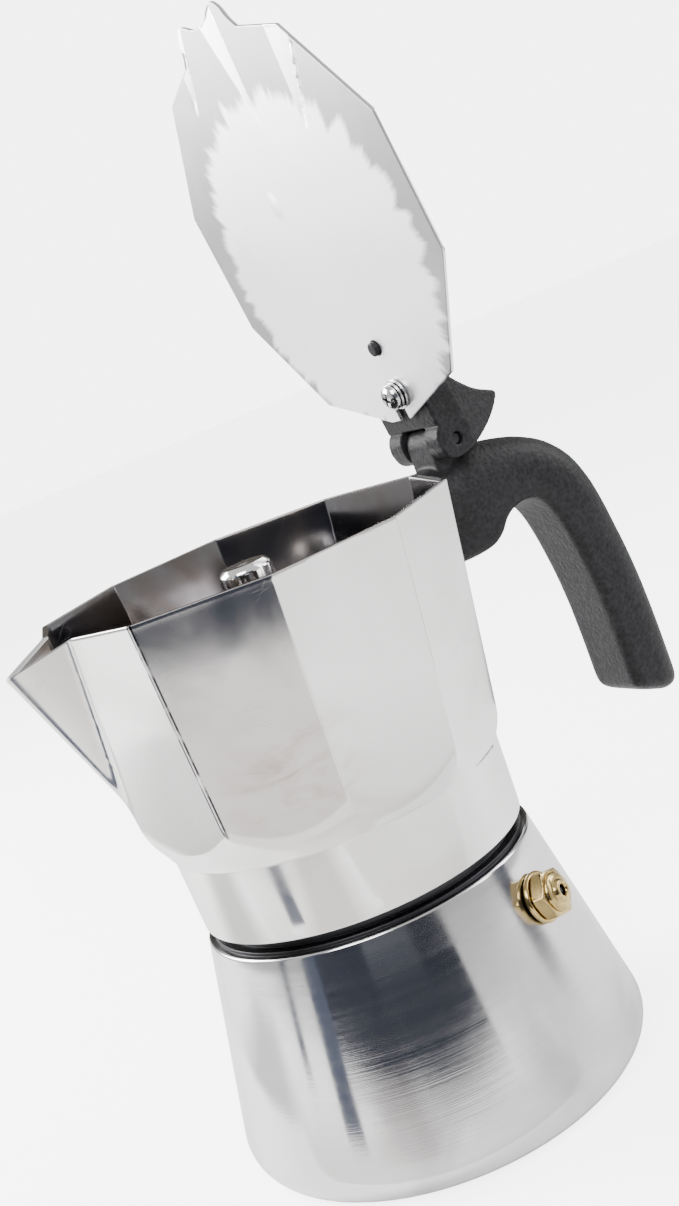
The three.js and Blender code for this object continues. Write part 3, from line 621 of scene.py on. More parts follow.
def makeSieveTree():
    # a round plate with holes in staggered rows, for which the count is even
    tree, inside, outside = newShapeTree("roundSieve", [
        ("Radius", "NodeSocketFloat", 0.03), ("Thickness", "NodeSocketFloat", 0.0008),
        ("Holed Radius", "NodeSocketFloat", 0.025), ("Hole", "NodeSocketFloat", 0.0006),
        ("Pitch", "NodeSocketFloat", 0.003), ("Count", "NodeSocketInt", 20),
        ("Material", "NodeSocketMaterial", None)])
    plate = addNode(tree, "GeometryNodeMeshCylinder", {
        "Radius": inside.outputs["Radius"], "Depth": inside.outputs["Thickness"], "Vertices": 96})
    # the grid spans count times the pitch, so its own pitch is a little wider
    reach = calculate(tree, "MULTIPLY", inside.outputs["Pitch"], inside.outputs["Count"])
    grid = addNode(tree, "GeometryNodeMeshGrid", {
        "Size X": reach, "Size Y": calculate(tree, "MULTIPLY", reach, rowShare),
        "Vertices X": inside.outputs["Count"], "Vertices Y": inside.outputs["Count"]})
    index = tree.nodes.new("GeometryNodeInputIndex").outputs[0]
    shift = calculate(tree, "MULTIPLY", calculate(tree, "MODULO", index, 2), inside.outputs["Pitch"])
    offset = addNode(tree, "ShaderNodeCombineXYZ", {"X": calculate(tree, "MULTIPLY", shift, 0.5)})
    moved = addNode(tree, "GeometryNodeSetPosition", {
        "Geometry": grid.outputs[0], "Offset": offset.outputs[0]})
    place = tree.nodes.new("GeometryNodeInputPosition").outputs[0]
    length = calculateVector(tree, "LENGTH", place)
    far = calculate(tree, "GREATER_THAN", length, inside.outputs["Holed Radius"])
    kept = addNode(tree, "GeometryNodeDeleteGeometry", {"Geometry": moved.outputs[0], "Selection": far},
                   domain="POINT")
    points = addNode(tree, "GeometryNodeMeshToPoints", {"Mesh": kept.outputs[0]})
    depth = calculate(tree, "MULTIPLY", inside.outputs["Thickness"], 3.0)
    drill = addNode(tree, "GeometryNodeMeshCylinder", {
        "Radius": inside.outputs["Hole"], "Depth": depth, "Vertices": 12})
    drills = addNode(tree, "GeometryNodeInstanceOnPoints", {
        "Points": points.outputs[0], "Instance": drill.outputs[0]})
    solidDrills = addNode(tree, "GeometryNodeRealizeInstances", {0: drills.outputs[0]})
    holed = addNode(tree, "GeometryNodeMeshBoolean", {
        "Mesh 1": plate.outputs[0], "Mesh 2": solidDrills.outputs[0]}, operation="DIFFERENCE")
    endShapeTree(tree, inside, outside, holed.outputs[0])
    return tree


rowShare = math.sqrt(3) / 2  # rows of round holes sit this much closer than their pitch
woundWire = makeWireTree()
roundSieve = makeSieveTree()


def shapeFromTree(name, tree, place, material, **values):
    empty = bpy.data.meshes.new(name)
    piece = bpy.data.objects.new(name, empty)
    bpy.context.scene.collection.objects.link(piece)
    maker = piece.modifiers.new("maker", "NODES")
    maker.node_group = tree
    names = {item.name: item.identifier for item in tree.interface.items_tree if item.in_out == "INPUT"}
    for key, value in values.items():
        maker[names[key]] = value
    maker[names["Material"]] = material
    bpy.context.view_layer.update()
    bake(piece)
    tidyMesh(piece.data, 40, 1e-7)
    piece.data.transform(place)
    return piece


def raised(height):
    return Matrix.Translation((0, 0, height * mm))


# boiler

boilerSizes = {"baseRadius": 55.0, "topRadius": 42.3, "height": 60.8, "edge": 8.0, "wall": 2.6, "floor": 3.2,
               "neckRadius": 38.2, "neckHeight": 14.2, "ledgeRadius": 40.6, "ledgeHeight": 0.9,
               "threadPitch": 4.0, "threadLength": 8.0, "threadRib": 0.3, "shadeBandTop": 65.4}
neckTop = boilerSizes["height"] + boilerSizes["neckHeight"]
coneSlope = (boilerSizes["baseRadius"] - boilerSizes["topRadius"]) / boilerSizes["height"]

valveSizes = {"height": 48.4, "turn": -61.6}
valveAngle = math.radians(valveSizes["turn"])
valveTilt = math.atan(coneSlope)
valveAxis = Vector((math.cos(valveTilt) * math.cos(valveAngle), math.cos(valveTilt) * math.sin(valveAngle),
                    math.sin(valveTilt)))
valveFoot = Vector((math.cos(valveAngle), math.sin(valveAngle), 0)) * (
    boilerSizes["baseRadius"] - coneSlope * valveSizes["height"])
valveFoot.z = valveSizes["height"]
valveTurn = Vector((0, 0, 1)).rotation_difference(valveAxis).to_matrix().to_4x4()
valvePlace = Matrix.Translation(valveFoot * mm) @ valveTurn


def coneRow(inset, bottom, steps=10):
    s = boilerSizes
    edge = max(s["edge"] - inset, 0.5)
    slide = inset / math.cos(valveTilt)
    centreHeight = bottom + edge
    centreRadius = s["baseRadius"] - slide - coneSlope * centreHeight - edge / math.cos(valveTilt)
    row = []
    for i in range(steps + 1):
        a = -math.pi / 2 + (valveTilt + math.pi / 2) * i / steps
        row.append((centreRadius + edge * math.cos(a), centreHeight + edge * math.sin(a), 0))
    return row, lambda z: s["baseRadius"] - slide - coneSlope * z


def makeBoiler():
    s = boilerSizes
    outer = coneRow(0, 0)[0]
    inner, innerRadius = coneRow(s["wall"], s["floor"])
    under = s["height"] - s["wall"]
    neckBore = s["neckRadius"] - s["wall"]
    side = [(s["baseRadius"] - coneSlope * z, z, 0) for z in (12, 20, 30, 40, 50, 57)]
    profile = [(0, 0.35), (38, 0.35, 0.6), (39, 0, 0.6)] + outer[1:] + side + [
        (s["topRadius"], s["height"], 0.7), (s["ledgeRadius"], s["height"], 0.2),
        (s["ledgeRadius"], s["height"] + s["ledgeHeight"], 0.3),
        (s["neckRadius"], s["height"] + s["ledgeHeight"], 0.2), (s["neckRadius"], s["shadeBandTop"], 0),
        (s["neckRadius"], neckTop, 0.4),
        (neckBore, neckTop, 0.4), (neckBore, under, 0.5), (innerRadius(under), under, 1.2),
    ] + inner[::-1] + [(0, s["floor"])]
    boiler = turnedPiece("boilerBody", profile, boilerMetal, 192, 0.15, ring=False)
    hole = prismPiece("hole", circle(3.9), -8, 5, "Z")
    hole.data.transform(valvePlace)
    carve(boiler, hole)
    tidyMesh(boiler.data, 30)
    boiler.data.materials.append(neckMetal)
    boiler.data.materials.append(spunMetal)
    # low neck faces take the dark neck metal as painted shade in the gap under the chamber's collar; higher neck
    # faces take the spun metal
    for face in boiler.data.polygons:
        onNeck = face.center.to_2d().length < (s["ledgeRadius"] + 0.6) * mm
        if onNeck and face.center.z > (s["height"] - 0.05) * mm:
            face.material_index = 1 if face.center.z < s["shadeBandTop"] * mm else 2
    finishPiece(boiler, "base", "polished_aluminium", "boiler")
    thread = shapeFromTree("neckThread", woundWire, raised(s["shadeBandTop"] + 0.4), spunMetal,
                           Radius=(s["neckRadius"] - 0.12) * mm, Height=s["threadLength"] * mm,
                           Turns=s["threadLength"] / s["threadPitch"],
                           Wire=s["threadRib"] * 1.1 * mm, Resolution=96, Sides=8)
    finishPiece(thread, "base", "polished_aluminium")


makeBoiler()
print("boiler done")


# safety valve

valveParts = {"washerRadius": 6.3, "washerTop": 1.7, "hexFlat": 5.3, "hexBottom": 2.0, "hexTop": 5.5,
              "capFlat": 4.66, "capBottom": 5.53, "capTop": 6.68, "noseRadius": 2.7, "noseTop": 7.6,
              "hole": 1.25, "springFoot": -0.5, "springLength": 5.4}


def hexPiece(name, flat, rows, holeRadius, material, rounding=0.35, cornerAt=0.0):
    # rows of [height, cone radius]: six-sided where the cone is wider or there is none
    angles = sideAngles(6, math.radians(3.2), 8)
    columns = []
    for a in angles:
        column = []
        for z, cone in rows:
            r = polygonRadius(a, 6, flat, rounding)
            if cone:
                r = smoothMin(r, cone, 0.12)
            column.append((r * math.cos(a), r * math.sin(a), z))
        column += [(holeRadius * math.cos(a), holeRadius * math.sin(a), rows[-1][0]),
                   (holeRadius * math.cos(a), holeRadius * math.sin(a), rows[0][0])]
        columns.append(column)
    verts = [p for column in columns for p in column]
    turnBy = Matrix.Rotation(cornerAt, 4, "Z")
    faces = gridFaces(len(columns), len(columns[0]))
    return makePiece(name, verts, faces, material, 28, place=valvePlace @ turnBy)


def makeValve():
    s = valveParts
    outer, top = s["washerRadius"], s["washerTop"]
    washer = turnedPiece("valveWasher", [
        (3.9, 0.3), (outer - 0.3, 0.3, 0.3), (outer, 0.75, 0.3), (outer, 1.3, 0.3), (outer - 0.35, top, 0.3),
        (3.9, top)], brassMetal, 72, 0.15, place=valvePlace)
    finishPiece(washer, "base", "brass", "valve_washer")
    flat, low, high = s["hexFlat"], s["hexBottom"], s["hexTop"]
    rows = [(low, flat + 0.2), (low + 0.15, flat + 0.5), (low + 0.45, None)]
    rows += [(z, flat + 0.12 + (high - z) * 1.9) for z in (4.6, 4.8, 5.0, 5.15, 5.3, 5.42)]
    rows += [(high, flat - 0.1), (high, 4.6)]
    body = hexPiece("valveBody", flat, rows, 2.6, brassMetal, cornerAt=0.25)
    shank = turnedPiece("valveShank", [
        (1.0, -5.0, 0.1), (3.2, -5.0, 0.1), (3.6, -4.5, 0.1), (3.6, 2.05, 0.05), (2.6, 2.05, 0.05),
        (2.6, -3.4, 0.1), (1.0, -3.4, 0.1)], brassMetal, 48, 0.1, place=valvePlace)
    finishPiece(body, "base", "brass", "valve_body")
    finishPiece(shank, "base", "brass")
    capRows = [(s["capBottom"], 4.55), (5.6, 4.72), (5.78, 4.75), (6.05, 4.6), (6.3, 4.3), (6.5, 3.9),
               (6.62, 3.5), (s["capTop"], 3.1)]
    cap = hexPiece("valveCap", s["capFlat"], capRows, 2.2, brassMetal, cornerAt=0.25)
    finishPiece(cap, "base", "brass", "valve_cap")
    hole, radius, top = s["hole"], s["noseRadius"], s["noseTop"]
    nose = turnedPiece("valveNose", [
        (hole, 5.7, 0.1), (2.2, 5.7, 0.1), (2.2, 6.5, 0.05), (radius + 0.2, 6.62, 0.1), (radius, 7.0, 0.35),
        (2.2, top, 0.4), (1.55, top - 0.05, 0.2), (hole, top - 0.5, 0.2)],
        brassMetal, 64, 0.1, place=valvePlace)
    finishPiece(nose, "base", "brass")
    pin = turnedPiece("valvePin", [
        (0, -3.1), (1.6, -3.1, 0.3), (2.15, -2.7, 0.2), (2.15, -2.1, 0.2), (0.8, -2.0, 0.3), (0.8, 6.7, 0.35),
        (0, 6.95)], neckMetal, 32, 0.1, ring=False, place=valvePlace)
    finishPiece(pin, "relief_pin", "steel", "valve_pin")
    spring = shapeFromTree("valveSpring", woundWire, valvePlace @ raised(s["springFoot"]), steelMetal,
                           Radius=1.6 * mm, Height=s["springLength"] * mm, Turns=5.0, Wire=0.25 * mm,
                           Resolution=24, Sides=8)
    finishPiece(spring, "base", "steel", "valve_spring")


makeValve()
print("valve done")


# funnel, strainer, filter and seal

funnelSizes = {"flange": 75.3, "flangeRadius": 38.2, "basketRadius": 35.1, "basketBottom": 52.1,
               "neckRadius": 5.3, "wall": 0.8, "stemRadius": 5, "stemBore": 4.3, "stemFoot": 7.7,
               "stemTop": 44.6}
sieves = {
    "funnelStrainer": {"body": "funnel", "node": "funnel_strainer", "foot": 53.2, "radius": 34.0,
                       "thickness": 0.7, "holed": 30.5, "hole": 0.75, "pitch": 3.6},
    "filterPlate": {"body": "top", "node": "filter_plate", "foot": 79.3, "radius": 33.8,
                    "thickness": 0.8, "holed": 27.5, "hole": 0.65, "pitch": 3.2},
}
gasketSizes = {"bore": 29.3, "radius": 38.3, "low": 76.4, "high": 79.0, "round": 0.6}


def makeFunnel():
    s = funnelSizes
    r, b, w = s["basketRadius"], s["basketBottom"], s["wall"]
    low, top = s["flange"], s["flange"] + w
    neck, rim = s["neckRadius"], s["flangeRadius"]
    basket = turnedPiece("funnelBasket", [
        (neck, b - 13), (neck + w, b - 13), (neck + w, b - 7, 0.8), (r - 0.4, b, 1.6), (r, b + 2, 0.8),
        (r, low, 0.5), (rim, low, 0.3), (rim, top, 0.3), (r - w, top, 0.8), (r - w, b + w + 0.9, 0.8),
        (r - w - 0.5, b + w, 0.5), (neck, b - 7 + w, 1.2)], spunMetal, 144, 0.2)
    finishPiece(basket, "funnel", "spun_aluminium", "funnel_basket")
    tube = [(s["stemBore"], s["stemFoot"]), (s["stemRadius"], s["stemFoot"]), (s["stemRadius"], s["stemTop"]),
            (s["stemBore"], s["stemTop"])]
    stem = turnedPiece("funnelStem", tube, spunMetal, 64, 0.2)
    finishPiece(stem, "funnel", "spun_aluminium", "funnel_stem")


def makeSieve(name):
    s = sieves[name]
    holes = {"Holed Radius": s["holed"] * mm, "Hole": s["hole"] * mm, "Pitch": s["pitch"] * mm, "Count": 20}
    plate = shapeFromTree(name, roundSieve, raised(s["foot"] + s["thickness"] / 2), spunMetal,
                          Radius=s["radius"] * mm, Thickness=s["thickness"] * mm, **holes)
    finishPiece(plate, s["body"], "spun_aluminium", s["node"])


def makeGasket():
    s = gasketSizes
    bore, radius, low, high = s["bore"], s["radius"], s["low"], s["high"]
    outline = [(bore, low), (radius, low), (radius, high), (bore, high)]
    gasket = turnedPiece("gasketRing", outline, sealRubber, 128, s["round"])
    finishPiece(gasket, "seal", "silicone", "gasket")


makeFunnel()
for name in sieves:
    makeSieve(name)
makeGasket()
print("funnel and filter done")


# upper chamber

facetRise = chamberSizes["rimHeight"] - chamberSizes["footHeight"]
facetSlope = (chamberSizes["rimRadius"] - chamberSizes["footRadius"]) / facetRise
facetLean = chamberSizes["footShift"] / facetRise
halfSide = math.cos(math.pi / 10)


def centreShift(z):
    return -facetLean * (chamberSizes["rimHeight"] - z)


def facetRadius(angle, z, inset, rounding):
    s = chamberSizes
    corner = s["rimRadius"] - facetSlope * (s["rimHeight"] - z)
    return polygonRadius(angle, 10, corner * halfSide - inset, rounding)


def roundRadius(angle, z, radius):
    # distance from the leaning centre to a circle about the pot's own axis
    c = centreShift(z)
    return -c * math.cos(angle) + math.sqrt(radius * radius - (c * math.sin(angle)) ** 2)


def spoutRadius(angle, z, inset):
    s = chamberSizes
    rim, top = s["rimRadius"], s["rimHeight"]
    root = Vector((-(rim - s["spoutHalf"] * math.tan(math.pi / 10)), s["spoutHalf"], top))
    tip = Vector((-rim - s["spoutReach"], 0, top - s["spoutDrop"]))
    foot = Vector(((facetSlope - facetLean) * s["spoutDepth"] - rim, 0, top - s["spoutDepth"]))
    normal = (tip - foot).cross(root - foot).normalized()
    if normal.y < 0:
        normal.negate()
    across = math.sqrt(math.sin(angle) ** 2 + 0.011 ** 2)
    lean = normal.x * math.cos(angle) + normal.y * across
    if lean < 0.05 or math.cos(angle) > -0.5:
        return 0.0
    return (normal.dot(tip) - inset - normal.x * centreShift(z) - normal.z * z) / lean


def topHeight(angle):
    s = chamberSizes
    off = abs(math.pi - angle % (2 * math.pi))
    if off > 0.4:
        return s["rimHeight"]
    rootX = s["rimRadius"] - s["spoutHalf"] * math.tan(math.pi / 10)
    reach = s["rimRadius"] + s["spoutReach"] - rootX
    slope = math.tan(off)
    share = (s["spoutHalf"] - rootX * slope) / (s["spoutHalf"] + reach * slope)
    return s["rimHeight"] - s["spoutDrop"] * min(max(share, 0), 1)


def makeChamber():
    s = chamberSizes
    spread = math.radians(0.42)
    spoutColumns = [math.pi + math.radians(d) * side for side in (-1, 1)
                    for d in [0.15, 0.35, 0.7] + [1.1 + 0.55 * n for n in range(23)]]
    angles = sideAngles(10, spread, 12, spoutColumns)
    low, high, top = s["collarLow"], s["collarHigh"], s["rimHeight"]
    collarAt = lambda z: s["collarFoot"] + (s["collarTop"] - s["collarFoot"]) * (z - low) / (high - low)
    bevelAt = lambda z: s["collarTop"] + s["bevelSlope"] * (z - high)
    lowRows = [low + up for up in (0.02, 0.12, 0.35, 1, 5, 10, 15)] + [high - 1, high - 0.35, high - 0.12]
    highRows = [high + 0.12, high + 0.35, high + 0.8] + [high + 1.2 + 0.55 * i for i in range(28)]
    highRows += [highRows[-1] + 1.2 + (top - 1.5 - highRows[-1]) * i / 22 for i in range(22)] + [top - 0.9]
    split = 100.0

    def stretch(z, angle):
        if z <= split:
            return z
        return split + (z - split) * (topHeight(angle) - split) / (top - split)

    def outerPoint(a, z):
        if z <= high:
            trim = {0: 0.45, 1: 0.2, 2: 0.04}.get(lowRows.index(z) if z in lowRows else 9, 0)
            r = roundRadius(a, z, collarAt(z) - trim)
        else:
            body = smoothMin(facetRadius(a, z, 0, s["edgeRound"]), roundRadius(a, z, bevelAt(z)), 1.1)
            r = smoothMax(body, spoutRadius(a, z, 0), 1.0)
        return (centreShift(z) + r * math.cos(a), r * math.sin(a), z)

    def innerPoint(a, z):
        flats = facetRadius(a, z, s["wall"], 0.7)
        rounds = collarAt(z) if z < high else bevelAt(z)
        body = smoothMin(flats, roundRadius(a, z, rounds - s["wall"]), 0.9)
        r = smoothMax(body, spoutRadius(a, z, s["spoutWall"]), 0.35)
        return (centreShift(z) + r * math.cos(a), r * math.sin(a), z)

    columns = []
    for a in angles:
        column = [outerPoint(a, stretch(z, a)) if z > high else outerPoint(a, z) for z in lowRows + highRows]
        rim = topHeight(a)
        outer, inner = Vector(outerPoint(a, rim)), Vector(innerPoint(a, rim))
        wall = inner - outer
        length = wall.length
        for step, drop in ((0.0, 0.3), (0.06, 0.1), (0.16, 0.0), (length - 0.16, 0.0), (length - 0.06, 0.1),
                           (length, 0.3)):
            spot = outer + wall.normalized() * step
            column.append((spot.x, spot.y, rim - drop))
        insideRows = [z for z in reversed(highRows) if z > s["floorTop"] + 1.2] + [s["floorTop"] + 1.2]
        column += [innerPoint(a, stretch(z, a)) for z in insideRows]
        edge = Vector(innerPoint(a, s["floorTop"] + 1.2)).to_2d()
        cosine, sine = edge.normalized()
        reach = edge.length
        for inward, lift in ((0.25, 0.55), (0.7, 0.2), (1.5, 0.1)):
            column.append(((reach - inward) * cosine, (reach - inward) * sine, s["floorTop"] + lift))
        floorAt = lambda r: s["floorTop"] + s["floorRise"] * (1 - (r - 10) / (reach - 10))
        for r in (reach - 4, 28, 20, 14, 10.2, 9.8):
            column.append((r * cosine, r * sine, min(floorAt(r), s["floorTop"] + s["floorRise"])))
        hole, seat, bore = s["columnHole"], s["seat"], s["bore"]
        roof = seat + s["floorRise"]
        for r, z in ((hole + 0.3, s["floorTop"] + 3), (hole, s["floorTop"] + 2.7), (hole, roof + 0.2),
                     (hole + 0.2, roof), (20, roof - 1.4), (33.8, seat + 0.05), (34.6, seat),
                     (bore - 0.3, seat), (bore, seat - 0.3), (bore, 72), (bore, low + 0.9), (bore + 0.5, low + 0.2),
                     (bore + 1.0, low)):
            column.append((r * cosine, r * sine, z))
        columns.append(column)
    rows = len(columns[0])
    outsideCount = len(lowRows) + len(highRows) + 4
    insideEnd = outsideCount + len([z for z in highRows if z > s["floorTop"] + 1.2]) + 12
    faces = gridFaces(len(columns), rows)
    # inside faces take the darker inside metal as painted shade
    slots = [1 if outsideCount <= (i % rows) < insideEnd else 0 for i in range(len(faces))]
    verts = [p for column in columns for p in column]
    chamber = makePiece("upperChamber", verts, faces, chamberMetal, 26, slots, extra=(insideMetal,))
    finishPiece(chamber, "top", "polished_aluminium", "upper_chamber")


def makeLug():
    # stands out from the chamber's back and goes into the handle
    s = chamberSizes
    rim, top = s["rimRadius"], s["rimHeight"]
    lug = boxPiece("handleLug", (rim - 7, -3.2, top - 23.6), (rim + 7, 3.2, top - 8), chamberMetal)
    bevelIt(lug, 0.4)
    carve(lug, prismPiece("hole", circle(s["screwHole"], (0, top - s["screwDrop"])), 40, 70, "X"))
    finishPiece(lug, "top", "polished_aluminium")


def bevelIt(piece, width, segments=3):
    bevel = piece.modifiers.new("edge", "BEVEL")
    bevel.width = width * mm
    bevel.segments = segments
    bevel.limit_method = "ANGLE"
    bevel.angle_limit = math.radians(30)
    bake(piece)
    tidyMesh(piece.data, 40)


makeChamber()
makeLug()
print("upper chamber done")


# column and its cap

columnSizes = {"seat": 83.4, "foot": 86.7, "bore": 3.2, "spigot": 6, "flare": 9.5, "radius": 5.2, "neck": 4.3,
               "capLow": 134.6, "capHigh": 144.0, "capRadius": 6.7, "slotWidth": 3.2, "slotHeight": 2.6,
               "slotDrop": 4.2}


def makeColumn():
    s = columnSizes
    seat, foot, bore, spigot, flare = s["seat"], s["foot"], s["bore"], s["spigot"], s["flare"]
    radius, neck, capLow, capHigh = s["radius"], s["neck"], s["capLow"], s["capHigh"]
    # the column wears the darker inside metal as painted shade
    column = turnedPiece("coffeeColumn", [
        (bore, seat), (spigot, seat), (spigot, foot, 0.1), (flare, foot, 0.2), (flare, foot + 1.5, 0.5),
        (6.6, foot + 9, 3), (radius, foot + 17, 2), (radius, capLow - 0.3, 0.2), (neck, capLow - 0.3, 0.1),
        (neck, capLow + 3.1, 0.3), (bore, capLow + 3.1, 0.3)], insideMetal, 72, 0.15)
    finishPiece(column, "top", "polished_aluminium", "column")
    wide = s["capRadius"]
    cap = turnedPiece("columnCap", [
        (4.6, capLow, 0.1), (5.4, capLow, 0.3), (wide, capLow + 2.6, 0.8), (wide, capHigh - 1.2, 1.6),
        (5.4, capHigh, 1.4), (4.9, capHigh, 0.3), (0, capHigh), (0, capHigh - 2.2),
        (4.6, capHigh - 2.2, 0.3)],
        chamberMetal, 96, 0.15)
    half, slotTop = s["slotWidth"] / 2, capHigh - s["slotDrop"]
    for a in (0.0, math.pi / 2):
        cutter = boxPiece("slot", (-20, -half, slotTop - s["slotHeight"]), (20, half, slotTop))
        cutter.data.transform(Matrix.Rotation(a, 4, "Z"))
        carve(cap, cutter)
    tidyMesh(cap.data, 30)
    finishPiece(cap, "top", "polished_aluminium", "column_cap")


makeColumn()
print("column done")


# handle

hingeSpot = Vector((61.3, 0, 151.7))
# the grip's lengthwise line: an inner and an outer point, outward of the rim and above it, and half the width
handleLook = {
    "innerRound": 2.6, "domeStart": 0.42, "voxel": 0.42, "soften": 5, "knuckleRadius": 4.6,
    "knuckleHalf": 5.5, "recess": 6.2, "pinRadius": 1.5, "pinHalf": 11.3, "pinHole": 1.65, "screwSeat": 12.5, "headSpace": 2.9,
    "line": [
        ((-4.0, -24.6), (-2.4, -0.2), 9.5), ((1.5, -24.8), (2.5, -0.2), 9.5), ((6.0, -24.8), (8.0, 0.2), 9.5),
        ((10.5, -24.2), (12.6, 2.2), 9.5), ((13.6, -22.4), (16.5, 2.0), 9.5), ((16.0, -19.8), (20.0, 1.2), 9.5),
        ((19.2, -17.9), (25.0, 0.2), 9.5), ((23.4, -17.1), (31.0, -1.7), 9.5), ((27.0, -18.0), (37.6, -5.3), 9.5),
        ((29.4, -20.6), (43.2, -11.2), 9.5), ((31.0, -24.0), (46.6, -18.6), 9.5),
        ((32.2, -28.4), (48.4, -26.0), 9.5), ((33.4, -34.5), (49.5, -33.0), 9.5),
        ((34.6, -43.0), (50.7, -41.5), 9.5), ((35.3, -52.0), (51.5, -50.5), 9.5),
        ((35.5, -61.0), (51.9, -60.0), 9.5), ((35.5, -68.0), (52.0, -70.0), 9.5),
        ((35.5, -73.4), (52.0, -77.0), 9.4), ((36.1, -75.8), (51.6, -79.8), 9.0),
        ((37.6, -77.4), (50.2, -81.4), 7.8), ((40.0, -78.8), (48.0, -82.0), 5.6),
    ],
}


def handleSection(inner, outer, half, count=40):
    # flat inner face with small rounds, domed outer face
    s = handleLook
    inner, outer = Vector((inner[0], 0, inner[1])), Vector((outer[0], 0, outer[1]))
    along = outer - inner
    length = along.length
    along.normalize()
    edge = min(s["innerRound"], half * 0.5, length * 0.3)
    dome = length * s["domeStart"]
    spots = []
    quarter = count // 8
    for i in range(quarter + 1):
        a = math.pi / 2 * i / quarter
        spots.append((edge * (1 - math.sin(math.pi / 2 - a)), half - edge + edge * math.sin(a)))
    sideCount = count // 2 - quarter
    for i in range(1, sideCount + 1):
        a = math.pi / 2 * i / sideCount
        spots.append((dome + (length - dome) * math.sin(a) ** 0.9, half * max(math.cos(a), 0) ** 0.62))
    ring = [(u, y) for u, y in spots] + [(u, -y) for u, y in reversed(spots[:-1])]
    return [tuple(inner + along * u + Vector((0, y, 0))) for u, y in ring]


def makeGripBlank():
    # the grip as one lofted skin, before anything is cut from it
    line = handleLook["line"]
    rim, top = chamberSizes["rimRadius"], chamberSizes["rimHeight"]
    lines = curveThrough([Vector((a[0], a[1], b[0])) for a, b, h in line], 4)
    outerLift = curveThrough([Vector((b[1], h, 0)) for a, b, h in line], 4)
    verts = []
    for first, second in zip(lines, outerLift):
        verts += handleSection((rim + first[0], top + first[1]), (rim + first[2], top + second[0]), second[1])
    count = len(lines)
    size = len(verts) // count
    faces = gridFaces(count, size, False, True)
    faces += [tuple(range(size)), tuple(range((count - 1) * size, count * size))[::-1]]
    return makePiece("handleGrip", verts, faces, plasticSkin)


def potSpace():
    # the ten-sided room that the chamber needs, a little wider than its corners
    low, high = 80.0, chamberSizes["rimHeight"] + 0.5
    verts = []
    for z in (low, high):
        reach = chamberSizes["rimRadius"] - facetSlope * (chamberSizes["rimHeight"] - z) + 0.45
        corners = [n * math.pi / 5 for n in range(10)]
        verts += [(centreShift(z) + reach * math.cos(a), reach * math.sin(a), z) for a in corners]
    faces = [tuple(range(10)), tuple(range(10, 20))[::-1]]
    faces += [(n, (n + 1) % 10, 10 + (n + 1) % 10, 10 + n) for n in range(10)]
    return makePiece("potSpace", verts, faces, plainCutter)


def makeHandle():
    s = handleLook
    rim, top = chamberSizes["rimRadius"], chamberSizes["rimHeight"]
    screwHeight = top - chamberSizes["screwDrop"]
    x, z, r = hingeSpot.x, hingeSpot.z, s["recess"]
    grip = makeGripBlank()
    carve(grip, prismPiece("recess", circle(r, (x, z)), -12, 12))
    carve(grip, prismPiece("recess", [(x - r, z), (x + r, z), (x + r, z + 20), (x - r, z + 20)], -12, 12))
    r = s["knuckleRadius"]
    knuckle = [(x + r, top - 6), (x + r, z)] + circle(r, (x, z), 24, 0, math.pi) + [(x - r, top - 6)]
    carve(grip, prismPiece("knuckle", knuckle, -s["knuckleHalf"], s["knuckleHalf"]), "UNION")
    carve(grip, prismPiece("pinHole", circle(s["pinHole"], (x, z)), -12, 12))
    carve(grip, potSpace())
    carve(grip, boxPiece("lugSpace", (40, -3.5, top - 23.9), (rim + 7.4, 3.5, top - 7.7)))
    screwHole = circle(chamberSizes["screwHole"], (0, screwHeight))
    carve(grip, prismPiece("screwSpace", screwHole, 50, rim + 13.2, "X"))
    carve(grip, prismPiece("headSpace", circle(s["headSpace"], (0, screwHeight)), rim + 12.2, rim + 24, "X"))
    moulded(grip, s["voxel"], s["soften"])
    finishPiece(grip, "top", "black_plastic", "handle")


def makeHandlePins():
    s = handleLook
    radius, half = s["pinRadius"], s["pinHalf"]
    pin = turnedPiece("hingePin", [(0, -half), (radius, -half, 0.3), (radius, half, 0.3), (0, half)],
                      neckMetal, 32, 0.2, ring=False,
                      place=Matrix.Translation(hingeSpot * mm) @ Matrix.Rotation(math.pi / 2, 4, "X"))
    finishPiece(pin, "top", "steel", "hinge_pin")
    seat = chamberSizes["rimRadius"] + s["screwSeat"]
    height = chamberSizes["rimHeight"] - chamberSizes["screwDrop"]
    screw = turnedPiece("handleScrew", [
        (0, 49.2 - seat), (1.1, 49.5 - seat, 0.2), (1.5, 50.5 - seat, 0.2), (1.5, 0, 0.1), (2.6, 0, 0.3),
        (2.6, 1.4, 0.5), (1.4, 2.0, 0.6), (0, 2.0)], steelMetal, 40, 0.15, ring=False,
        place=Matrix.Translation((seat * mm, 0, height * mm)) @ Matrix.Rotation(math.pi / 2, 4, "Y"))
    carve(screw, boxPiece("slot", (seat + 1.1, -3, height - 0.4), (seat + 3, 3, height + 0.4)))
    tidyMesh(screw.data, 30)
    finishPiece(screw, "top", "steel", "handle_screw")


makeHandle()
makeHandlePins()
print("handle done")


# lid: built closed, then opened about the hinge

openPlace = (Matrix.Translation(hingeSpot * mm) @ Matrix.Rotation(math.radians(82.4), 4, "Y")
             @ Matrix.Translation(-hingeSpot * mm))
lidScrewSpot = (hingeSpot.x - 16.2, -5.2)
lidPegSpot = (hingeSpot.x - 28.8, -5.2)


